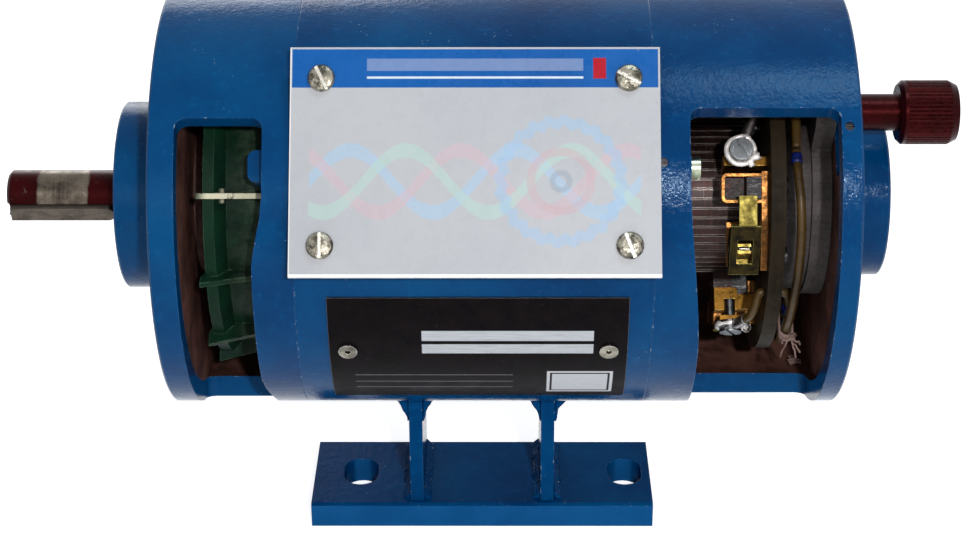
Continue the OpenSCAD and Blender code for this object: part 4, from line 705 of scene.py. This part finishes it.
dress(housing_paint("drive_shield_paint", DRIVE_WALL_X, DRIVE_SEAM_X, 0.0), "drive_end_shield")
dress(housing_paint("frame_paint", DRIVE_SEAM_X, BRUSH_SEAM_X, 0.31), "centre_frame")
dress(housing_paint("brush_shield_paint", BRUSH_SEAM_X, BRUSH_WALL_X, 0.57), "brush_end_shield",
      "brush_end_wall")
foot_paint = blue_paint("foot_paint", seed=0.83, scuffs=0.4, swell=0.3, gloss=0.02, bumps=0.16)
dress(foot_paint, "uprights", "housing_welds", "foot_welds")
# The foot plate is given painted light on its faces towards -Y.
dress(blue_paint("plate_paint", seed=0.47, scuffs=0.4, swell=0.3, gloss=0.012, bumps=0.16, front=0.9),
      "foot_plate")
dress(primed("cover_primer"), "bearing_cover")
dress(blue_paint("cap_paint", seed=0.12), "bearing_cap")
dress(sign_print(), "sign_board")
dress(plate_print(), "nameplate")

zinc = metal("zinc", srgb(158, 152, 140), srgb(64, 60, 54), 0.26, stain=0.9, strength=0.5,
             edge=srgb(255, 252, 244))
green_zinc = metal("green_zinc", srgb(176, 184, 160), srgb(96, 104, 88), 0.34, stain=0.7, strength=0.3,
                   edge=srgb(214, 220, 200))
dull_steel = metal("dull_steel", srgb(112, 110, 112), srgb(50, 48, 52), 0.36, stain=0.8,
                   edge=srgb(190, 188, 188))
solder = metal("solder", srgb(255, 250, 246), srgb(236, 226, 220), 0.26, grain_scale=900, stain=0.5,
               strength=0.8, edge=srgb(255, 253, 250), metallic=0.25)
bearing_steel = metal("bearing_steel", srgb(176, 176, 180), srgb(110, 108, 110), 0.2, grain_scale=600)
gold_brass = metal("gold_brass", srgb(196, 144, 62), srgb(112, 68, 26), 0.34, grain_scale=500, strength=0.4,
                   edge=srgb(252, 226, 150))
screw_steel = metal("screw_steel", srgb(164, 166, 168), srgb(92, 98, 102), 0.32, strength=0.3,
                    edge=srgb(226, 226, 226))
dark_steel = metal("dark_steel", srgb(62, 60, 62), srgb(28, 26, 28), 0.4, stain=0.8, edge=srgb(104, 104, 106))
tinned = metal("tinned", srgb(168, 160, 158), srgb(92, 86, 86), grain_scale=500, stain=0.7, strength=0.4,
               edge=srgb(226, 220, 216))
key_steel = metal("key_steel", srgb(92, 84, 77), srgb(48, 41, 37), 0.34, grain=(1, 12, 12), grain_scale=200)
dress(slotted_zinc(), "sign_screws")
dress(zinc, "nameplate_rivets", "knob_washer", "knob_stud", "sign_spacers")
dress(screw_steel, "terminal_screws")
dress(dark_steel, "grub_screws", "ring_screws", "holder_screws")
dress(green_zinc, "tie_bolts")
dress(dull_steel, "finger_pins", "rocker_circlip", "rotor_circlip", "wave_washer")
dress(tinned, "terminal_lugs")
dress(bearing_steel, "drive_outer_race", "brush_outer_race", "drive_inner_race", "brush_inner_race",
      "bearing_balls")
dress(shaft_metal(), "shaft")
dress(key_steel, "shaft_key")
dress(holder_brass(), "brush_holders")
dress(gold_brass, "terminal_blocks", "terminal_plates")
dress(finger_brass(), "finger_1", "finger_2", "finger_3", "finger_4")
dress(copper_bars(), "commutator_segments")
dress(matt("mica", srgb(150, 136, 126), srgb(96, 84, 78), scale=300), "commutator_insulation")
dress(laminate(), "rocker_ring")
dress(casting(), "rocker_hub")
dress(fan_paint(), "fan")
dress(stacked_sheets(), "stator_core", "rotor_core")
dress(wound_copper(), "stator_winding", "rotor_winding")
dress(carbon(), "brush_1", "brush_2", "brush_3", "brush_4")
dress(matt("rubber", srgb(30, 30, 32), srgb(14, 14, 15), specks=srgb(84, 82, 80)), "lead_grommet",
      "shaft_seal")
dress(red_enamel(), "knob_head")

# Small pieces that ride on the bodies
LUMP_TURNS = 9
LUMP_RINGS = 6
LUMP_UNEVEN = 1.7


class Shape:
    """Points and faces of one piece, collected from tubes and lumps."""

    def __init__(self):
        self.points = []
        self.faces = []

    def tube(self, path, radius, sides):
        """A tube along a path; radius is a number or one number for each point."""
        first = len(self.points)
        side = (path[1] - path[0]).normalized().orthogonal().normalized()
        for i, point in enumerate(path):
            heading = (path[min(i + 1, len(path) - 1)] - path[max(i - 1, 0)]).normalized()
            side = (side - heading * side.dot(heading)).normalized()
            other = heading.cross(side)
            size = radius[i] if isinstance(radius, list) else radius
            for k in range(sides):
                turn = 2 * pi * k / sides
                self.points.append(point + side * (size * cos(turn)) + other * (size * sin(turn)))
        self.skin(first, len(path) - 1, sides)
        self.faces.append(tuple(reversed(range(first, first + sides))))
        self.faces.append(tuple(range(len(self.points) - sides, len(self.points))))

    def lump(self, middle, size, seed, rough):
        """An uneven rounded drop; size gives its half lengths along x, y and z."""
        first = len(self.points)
        for j in range(LUMP_RINGS + 1):
            tilt = pi * j / LUMP_RINGS
            for k in range(LUMP_TURNS):
                turn = 2 * pi * k / LUMP_TURNS
                way = Vector((sin(tilt) * cos(turn), sin(tilt) * sin(turn), cos(tilt)))
                swell = 1 + rough * noise.noise(way * LUMP_UNEVEN + Vector((seed, seed * 2.3, seed * 0.7)))
                reach = Vector((way.x * size[0], way.y * size[1], way.z * size[2]))
                self.points.append(middle + reach * swell)
        self.skin(first, LUMP_RINGS, LUMP_TURNS)

    def skin(self, first, rows, sides):
        """Faces between neighbouring rows of points."""
        for j in range(rows):
            for k in range(sides):
                a = first + j * sides + k
                b = a - k + (k + 1) % sides
                self.faces.append((a, b, b + sides, a + sides))

    def piece(self, name, material, body):
        mesh = bpy.data.meshes.new(name)
        mesh.from_pydata([tuple(point) for point in self.points], [], self.faces)
        work = bmesh.new()
        work.from_mesh(mesh)
        bmesh.ops.remove_doubles(work, verts=work.verts, dist=1e-7)
        bmesh.ops.recalc_face_normals(work, faces=work.faces)
        work.to_mesh(mesh)
        work.free()
        mesh.shade_smooth()
        mesh.materials.append(material)
        thing = add_object(name, mesh)
        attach(thing, body)
        return thing


def smooth_path(points, steps):
    """Catmull-Rom curve through the points."""
    path = []
    for i in range(len(points) - 1):
        before, a = points[max(i - 1, 0)], points[i]
        b, after = points[i + 1], points[min(i + 2, len(points) - 1)]
        for k in range(steps):
            t = k / steps
            path.append(0.5 * (2 * a + (b - before) * t + (2 * before - 5 * a + 4 * b - after) * t * t
                               + (3 * a - before - 3 * b + after) * t ** 3))
    path.append(points[-1])
    return path


# Weld beads
BEAD_VOXEL = 0.0006
BEAD_RIPPLE = 0.0023


def weld_beads(name, node, height, seed):
    """A CAD node's shape, remeshed and given ripples across Y and uneven lumps."""
    thing = add_object(name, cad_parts[node].data.copy())
    remesh = thing.modifiers.new("remesh", "REMESH")
    remesh.mode = "VOXEL"
    remesh.voxel_size = BEAD_VOXEL
    rough = bpy.data.meshes.new_from_object(thing.evaluated_get(bpy.context.evaluated_depsgraph_get()))
    thing.modifiers.clear()
    thing.data = rough
    moves = []
    for corner in rough.vertices:
        place = corner.co
        broad = noise.noise(place * 260 + Vector((seed, 0, seed)))
        fine = noise.noise(place * 900 + Vector((0, seed, 0)))
        wave = sin(2 * pi * (place.y + 0.0006 * broad) / BEAD_RIPPLE)
        moves.append(corner.normal * (height * (0.55 * wave + 0.9 * broad + 0.35 * fine)))
    for corner, move in zip(rough.vertices, moves):
        corner.co += move
    rough.shade_smooth()
    rough.materials.clear()
    rough.materials.append(foot_paint)
    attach(thing, "frame")
    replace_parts(thing, node)


weld_beads("housing_beads", "housing_welds", 0.00055, 3.1)
weld_beads("foot_beads", "foot_welds", 0.0006, 7.7)

# Leads of the brush gear: [turn, distance from the axis, reach behind the ring], in degrees and mm
LEAD_ROUTE = (
    (13.9, 54.5, -5.4), (17.5, 55, -4.2), (22, 54.2, -3), (26, 52.4, -2), (27.5, 51.5, -0.6),
    (27.5, 51.5, 6.6), (26, 51.6, 8.8), (19, 51.4, 9.9), (8, 51.3, 10), (-2, 52, 10.1), (-10, 54.3, 10.3),
    (-20, 56.5, 10.9), (-33, 57, 11.4), (-46, 57, 11.2), (-59, 57, 10.6), (-72, 56.8, 10.1),
    (-82, 56.6, 9.8), (-90, 56.5, 9.6),
)
LEAD_R = 0.0017
SLEEVE_R = 0.0021


def repeated(add, count=BRUSH_SETS):
    """A shape of several like parts; add puts in the one with a number."""
    shape = Shape()
    for number in range(count):
        add(shape, number)
    return shape


def brush_turn(k):
    return FIRST_BRUSH + TERMINAL_TURN - SET_PITCH * k


def lead_tube(shape, k, route, radius, steps=1):
    stops = [around(RING_X0 + reach * MM, r * MM, brush_turn(k) + turn) for turn, r, reach in route]
    shape.tube(smooth_path(stops, steps), radius, 14)


def lead(shape, k):
    lead_tube(shape, k, LEAD_ROUTE, LEAD_R, 6)


def blue_sleeves(shape, k):
    """A sleeve where a lead turns outwards; the second lead has one more."""
    lead_tube(shape, k, [(-1.5 - step, 52.0 + 0.22 * step, 10.1) for step in range(5)], SLEEVE_R)
    if k == 1:
        lead_tube(shape, k, [(18.5 - step, 51.39, 9.92) for step in range(6)], SLEEVE_R)


lead_sleeve = matt("lead_sleeve", srgb(78, 58, 26), srgb(38, 27, 14), 0.36, 240, 0.3, srgb(128, 100, 50),
                   specular=0.25)
blue_sleeve = matt("blue_sleeve", srgb(24, 40, 120), srgb(12, 20, 66), 0.4, 300, 0.3, srgb(60, 78, 150),
                   specular=0.25)
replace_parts(repeated(lead).piece("lead_tubes", lead_sleeve, "rocker"), "jumper_leads")
repeated(blue_sleeves).piece("lead_sleeves", blue_sleeve, "rocker")

# Solder round the lugs, with drops: reach along x, along the turn and outwards, half lengths, seed
LUG_X = 0.095
LUG_R1 = 0.0523
LUG_TILT = 20
BARREL_REACH = 0.0068
SOLDER_RING_R = 0.0052
SOLDER_STEPS = 36
SOLDER_DROPS = (
    ((0.0055, -0.0024, 0.0004), (0.0019, 0.0012, 0.0012), 5.9),
    ((0.0036, -0.0052, 0.0002), (0.0012, 0.0010, 0.0010), 8.1),
)
LEVEL = Vector((1, 0, 0))


def solder_run(shape, k):
    """Uneven ring round a lug's eye, with drops at its barrel and beside it."""
    turn = brush_turn(k)
    outwards = outwards_at(turn)
    middle = around(LUG_X, LUG_R1, turn)
    ring = []
    amount = []
    for i in range(SOLDER_STEPS + 1):
        walk = 2 * pi * i / SOLDER_STEPS
        reach = SOLDER_RING_R + 0.0004 * noise.noise(Vector((cos(walk) * 1.4, sin(walk) * 1.4, 4.1 * k)))
        ring.append(middle + LEVEL * (reach * cos(walk)) + along_turn(turn) * (reach * sin(walk))
                    + outwards * 0.00005)
        amount.append(0.00095 + 0.0004 * noise.noise(Vector((cos(walk) * 2.6, sin(walk) * 2.6, 9.7 + k))))
    shape.tube(ring, amount, 9)
    barrel = (along_turn(turn) * cos(radians(LUG_TILT)) + LEVEL * sin(radians(LUG_TILT))).normalized()
    barrel_end = middle + barrel * BARREL_REACH + outwards * 0.0006
    shape.lump(barrel_end, (0.0021, 0.0018, 0.0018), 2.3 + k, 0.5)
    for (level, along, out), size, seed in SOLDER_DROPS:
        place = middle + LEVEL * level + along_turn(turn) * along + outwards * out
        shape.lump(place, size, seed + k, 0.7)


repeated(solder_run).piece("solder_runs", solder, "rocker")

# Torsion springs of the fingers, with the bar that joins their coils across the post
PIN_AT_R = 0.0427
PIN_AT_T = -0.022
SPRING_X0 = 0.0930
SPRING_X1 = 0.0939
SPRING_COIL_R = 0.0019
SPRING_WIRE_R = 0.0003
SPRING_STEPS = 56
STEPS_A_COIL = 8
BAR_R = 0.0007
BAR_RISE = 0.0029
BAR_STOPS = (POST_X0 + 0.0001, POST_X0 + 0.0009, POST_X1 - 0.0009, POST_X1 - 0.0001)


def at_pin(k, x, rise=0.0):
    """Point on the line of a finger's pin, or further out by a rise."""
    turn = FIRST_BRUSH - SET_PITCH * k
    return around(0, PIN_AT_R + rise, turn) + along_turn(turn) * PIN_AT_T + Vector((x, 0, 0))


def finger_spring(shape, k):
    outwards = outwards_at(FIRST_BRUSH - SET_PITCH * k)
    up = along_turn(FIRST_BRUSH - SET_PITCH * k)
    coil = []
    for i in range(SPRING_STEPS + 1):
        walk = radians(360 * i / STEPS_A_COIL)
        x = SPRING_X0 + (SPRING_X1 - SPRING_X0) * i / SPRING_STEPS
        coil.append(at_pin(k, x) + outwards * (SPRING_COIL_R * cos(walk)) + up * (SPRING_COIL_R * sin(walk)))
    first_leg = [coil[0] + up * (0.0012 * step) + outwards * (0.0004 * step) for step in range(4, 0, -1)]
    last_leg = [coil[-1] + up * (-0.0011 * step) - outwards * (0.0003 * step) for step in range(1, 5)]
    shape.tube(first_leg + coil + last_leg, SPRING_WIRE_R, 7)


def pin_bar(shape, k):
    shape.tube([at_pin(k, x, BAR_RISE) for x in BAR_STOPS], BAR_R, 10)


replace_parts(repeated(finger_spring).piece("spring_coils", dull_steel, "rocker"), "finger_springs")
repeated(pin_bar).piece("pin_bars", zinc, "rocker")

# String lashings round two leads each
LASHINGS = 3
LASH_TURN = -84
LASH_LOW_R = 0.0513
LASH_HIGH_R = 0.0566
LASH_REACH = 0.0099
LASH_WIDTH = 0.0046
LASH_ROWS = 6
LASH_ROW_STEPS = 22
STRING_R = 0.0005
STRING_GAP = 0.0002
LOOSE_ENDS = 7


def stray(a, b):
    """Three noises at a place, for x, y and z."""
    return [noise.noise(Vector((a, b, height))) for height in (0, 5, 9)]


def loose_end(shape, start, way, seed):
    """A short string that sags and strays."""
    bend = []
    for step in range(6):
        sway = [0.0013 * part for part in stray(step * 0.6, seed)]
        sway[2] -= 0.00012 * step * step
        bend.append(start + way * (0.0011 * step) + Vector(sway))
    shape.tube(smooth_path(bend, 3), STRING_R * 0.8, 6)


def lashing(shape, k):
    """String wound round two leads, with a knot, loose ends and lint."""
    seed = 1.7 + 3.9 * k
    turn = brush_turn(k) + LASH_TURN
    x = RING_X0 + LASH_REACH
    half = LEAD_R + STRING_R + STRING_GAP
    path = []
    for i in range(LASH_ROWS * LASH_ROW_STEPS + 1):
        share = i / LASH_ROW_STEPS
        walk = (share % 1.0) * 2 * pi
        r = (LASH_LOW_R if cos(walk) < 0 else LASH_HIGH_R) + half * cos(walk)
        lift = 1.0 + 0.10 * noise.noise(Vector((share * 3.1, seed, 0)))
        sway = 0.0003 * noise.noise(Vector((share * 5.3, 0, seed)))
        along = (share / LASH_ROWS - 0.5) * LASH_WIDTH + sway
        path.append(around(x + half * lift * sin(walk), r, turn) + along_turn(turn) * along)
    shape.tube(path, STRING_R, 7)
    for end in range(LOOSE_ENDS):
        start = around(x + 0.0016, LASH_HIGH_R + half, turn) + along_turn(turn) * (0.0007 * (end - 3))
        way = Vector((0.7 * cos(1.3 * end), -0.6, 0.8 * sin(1.3 * end))).normalized()
        loose_end(shape, start, way, seed + end)
    knot = around(x + 0.0022, LASH_HIGH_R + 0.0016, turn)
    lint = around(x - 0.0008, LASH_HIGH_R + 0.0018, turn - 1.6)
    shape.lump(knot, (0.0021, 0.0017, 0.0018), seed, 0.9)
    shape.lump(lint, (0.0015, 0.0012, 0.0013), seed + 2.0, 0.9)


string = matt("string", srgb(150, 124, 116), srgb(92, 68, 62), 0.8, 500, 0.6, srgb(204, 184, 176))
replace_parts(repeated(lashing, LASHINGS).piece("lead_strings", string, "rocker"), "lead_lashings")

# Curled end of thin wire beside the terminal under the fingers
CURL_X = 0.1015
CURL_R = 0.0013
CURL_HIGH_R = 0.0528
CURL_TURN = -4.5
CURL_STEPS = 40
STEPS_A_CURL = 16
WIRE_R = 0.00028


def wire_curls():
    turn = brush_turn(1) + CURL_TURN
    path = [around(LUG_X + 0.0045, LUG_R1, brush_turn(1) - 1.5)]
    for i in range(CURL_STEPS + 1):
        walk = 2 * pi * i / STEPS_A_CURL
        drift = 0.00007 * i * (1.0 + 0.4 * sin(0.9 * i))
        path.append(around(CURL_X + CURL_R * 1.2 * cos(walk), CURL_HIGH_R, turn)
                    + along_turn(turn) * drift + outwards_at(turn) * (CURL_R * sin(walk)))
    shape = Shape()
    shape.tube(smooth_path(path, 2), WIRE_R, 7)
    shape.piece("wire_curls", tinned, "rocker")


wire_curls()

# Tuft of old string that has dropped to the bottom of the bore
TUFT_X = 0.1248
TUFT_TURN = -86
TUFT_R = 0.0707
TUFT_LENGTH = (0.0052, 0.0062)
TUFT_STRANDS = 9
STRAND_STEPS = 6


def tuft_strand(shape, i):
    spin = 2.4 * i
    path = []
    for step in range(STRAND_STEPS + 1):
        share = step / STRAND_STEPS - 0.5
        sway = stray(share * 2.2, i * 1.9)
        x = TUFT_X + TUFT_LENGTH[0] * share * cos(spin) + 0.0012 * sway[0]
        across = TUFT_LENGTH[1] * share * sin(spin) + 0.0014 * sway[1]
        path.append(around(x, TUFT_R - 0.0009 * abs(sway[2]), TUFT_TURN + 1.6 * sin(1.7 * i))
                    + along_turn(TUFT_TURN) * across)
    shape.tube(smooth_path(path, 3), STRING_R, 6)


tuft = repeated(tuft_strand, TUFT_STRANDS)
tuft.lump(around(TUFT_X, TUFT_R - 0.0003, TUFT_TURN), (0.0021, 0.0018, 0.0009), 6.1, 0.8)
tuft.piece("string_tuft", string, "frame")

# Camera, as fitted to the photograph
FOCAL_MM = 79.19
SENSOR_MM = 36.0
CAMERA_AT = Vector((0.00697, -0.75766, 0.47325))
CAMERA_TILT = 26.0
CAMERA_YAW = 0.41
CAMERA_ROLL = -0.19


def place_camera():
    tilt, yaw, roll = radians(CAMERA_TILT), radians(CAMERA_YAW), radians(CAMERA_ROLL)
    back = Vector((sin(yaw) * cos(tilt), -cos(yaw) * cos(tilt), sin(tilt)))
    level = Vector((cos(yaw), sin(yaw), 0.0))
    above = back.cross(level)
    right = cos(roll) * level + sin(roll) * above
    up = -sin(roll) * level + cos(roll) * above
    data = bpy.data.cameras.new("camera")
    data.lens = FOCAL_MM
    data.sensor_width = SENSOR_MM
    camera = add_object("camera", data)
    camera.matrix_world = Matrix.Translation(CAMERA_AT) @ Matrix((right, up, back)).transposed().to_4x4()
    bpy.context.scene.camera = camera


# Lamps: name, place, target, size across, power in watts, colour
MIDDLE = (0.0, 0.0, 0.12)
LAMPS = (
    ("key", (-0.75, -2.0, 0.95), MIDDLE, 1.0, 3.5),
    ("fill", (1.1, -1.9, 0.7), MIDDLE, 1.2, 5.5),
    ("front", (0.172, -1.13, 0.728), (0.0, 0.0, 0.136), 0.045, 7.5),
    ("top", (0.34, -0.15, 1.5), MIDDLE, 0.4, 5, (0.72, 0.94, 1.0)),
    ("back", (-0.7, 2.0, 0.9), MIDDLE, 1.2, 12),
)
WORLD_COLOUR = (0.96, 0.98, 1.0, 1)
WORLD_LEVEL = 0.24
FLOOR_HALF = 8.0
FLOOR_GLOW = 0.75


def lamp(name, at, target, size, watts, colour=(1, 1, 1)):
    data = bpy.data.lights.new(name, "AREA")
    data.shape = "DISK"
    data.size = size
    data.energy = watts
    data.color = colour
    light = add_object(name, data)
    light.location = at
    light.rotation_euler = (Vector(target) - Vector(at)).to_track_quat("-Z", "Y").to_euler()


def seen_strength(nodes, plain, seen):
    """A strength that differs for what the camera sees, directly, mirrored or through something."""
    path = nodes.add("LightPath").outputs
    share = path["Is Camera Ray"]
    for name in ("Is Glossy Ray", "Is Transmission Ray"):
        share = nodes.maths("MAXIMUM", share, path[name])
    return nodes.add("MapRange", {"Value": share, "To Min": plain, "To Max": seen}).outputs[0]


def pale_world():
    world = bpy.data.worlds.new("studio")
    bpy.context.scene.world = world
    world.use_nodes = True
    nodes = Nodes(world.node_tree)
    nodes.put(nodes.tree.nodes["Background"], {0: WORLD_COLOUR, 1: seen_strength(nodes, WORLD_LEVEL, 1.0)})


def pale_floor():
    mesh = bpy.data.meshes.new("floor")
    corners = [(x * FLOOR_HALF, y * FLOOR_HALF, 0) for x, y in ((-1, -1), (1, -1), (1, 1), (-1, 1))]
    mesh.from_pydata(corners, [], [(0, 1, 2, 3)])
    shade = Shade("floor")
    shade.put(shade.shader, {"Base Color": (0.9, 0.9, 0.9, 1), "Roughness": 0.8, "Specular IOR Level": 0.1,
                             "Emission Color": (1, 1, 1, 1),
                             "Emission Strength": seen_strength(shade, 0.0, FLOOR_GLOW)})
    mesh.materials.append(shade.material)
    add_object("floor", mesh)


# A plain level of light: what faces the camera renders about as its colour is written
place_camera()
for row in LAMPS:
    lamp(*row)
pale_world()
pale_floor()
bpy.context.scene.view_settings.view_transform = "Standard"
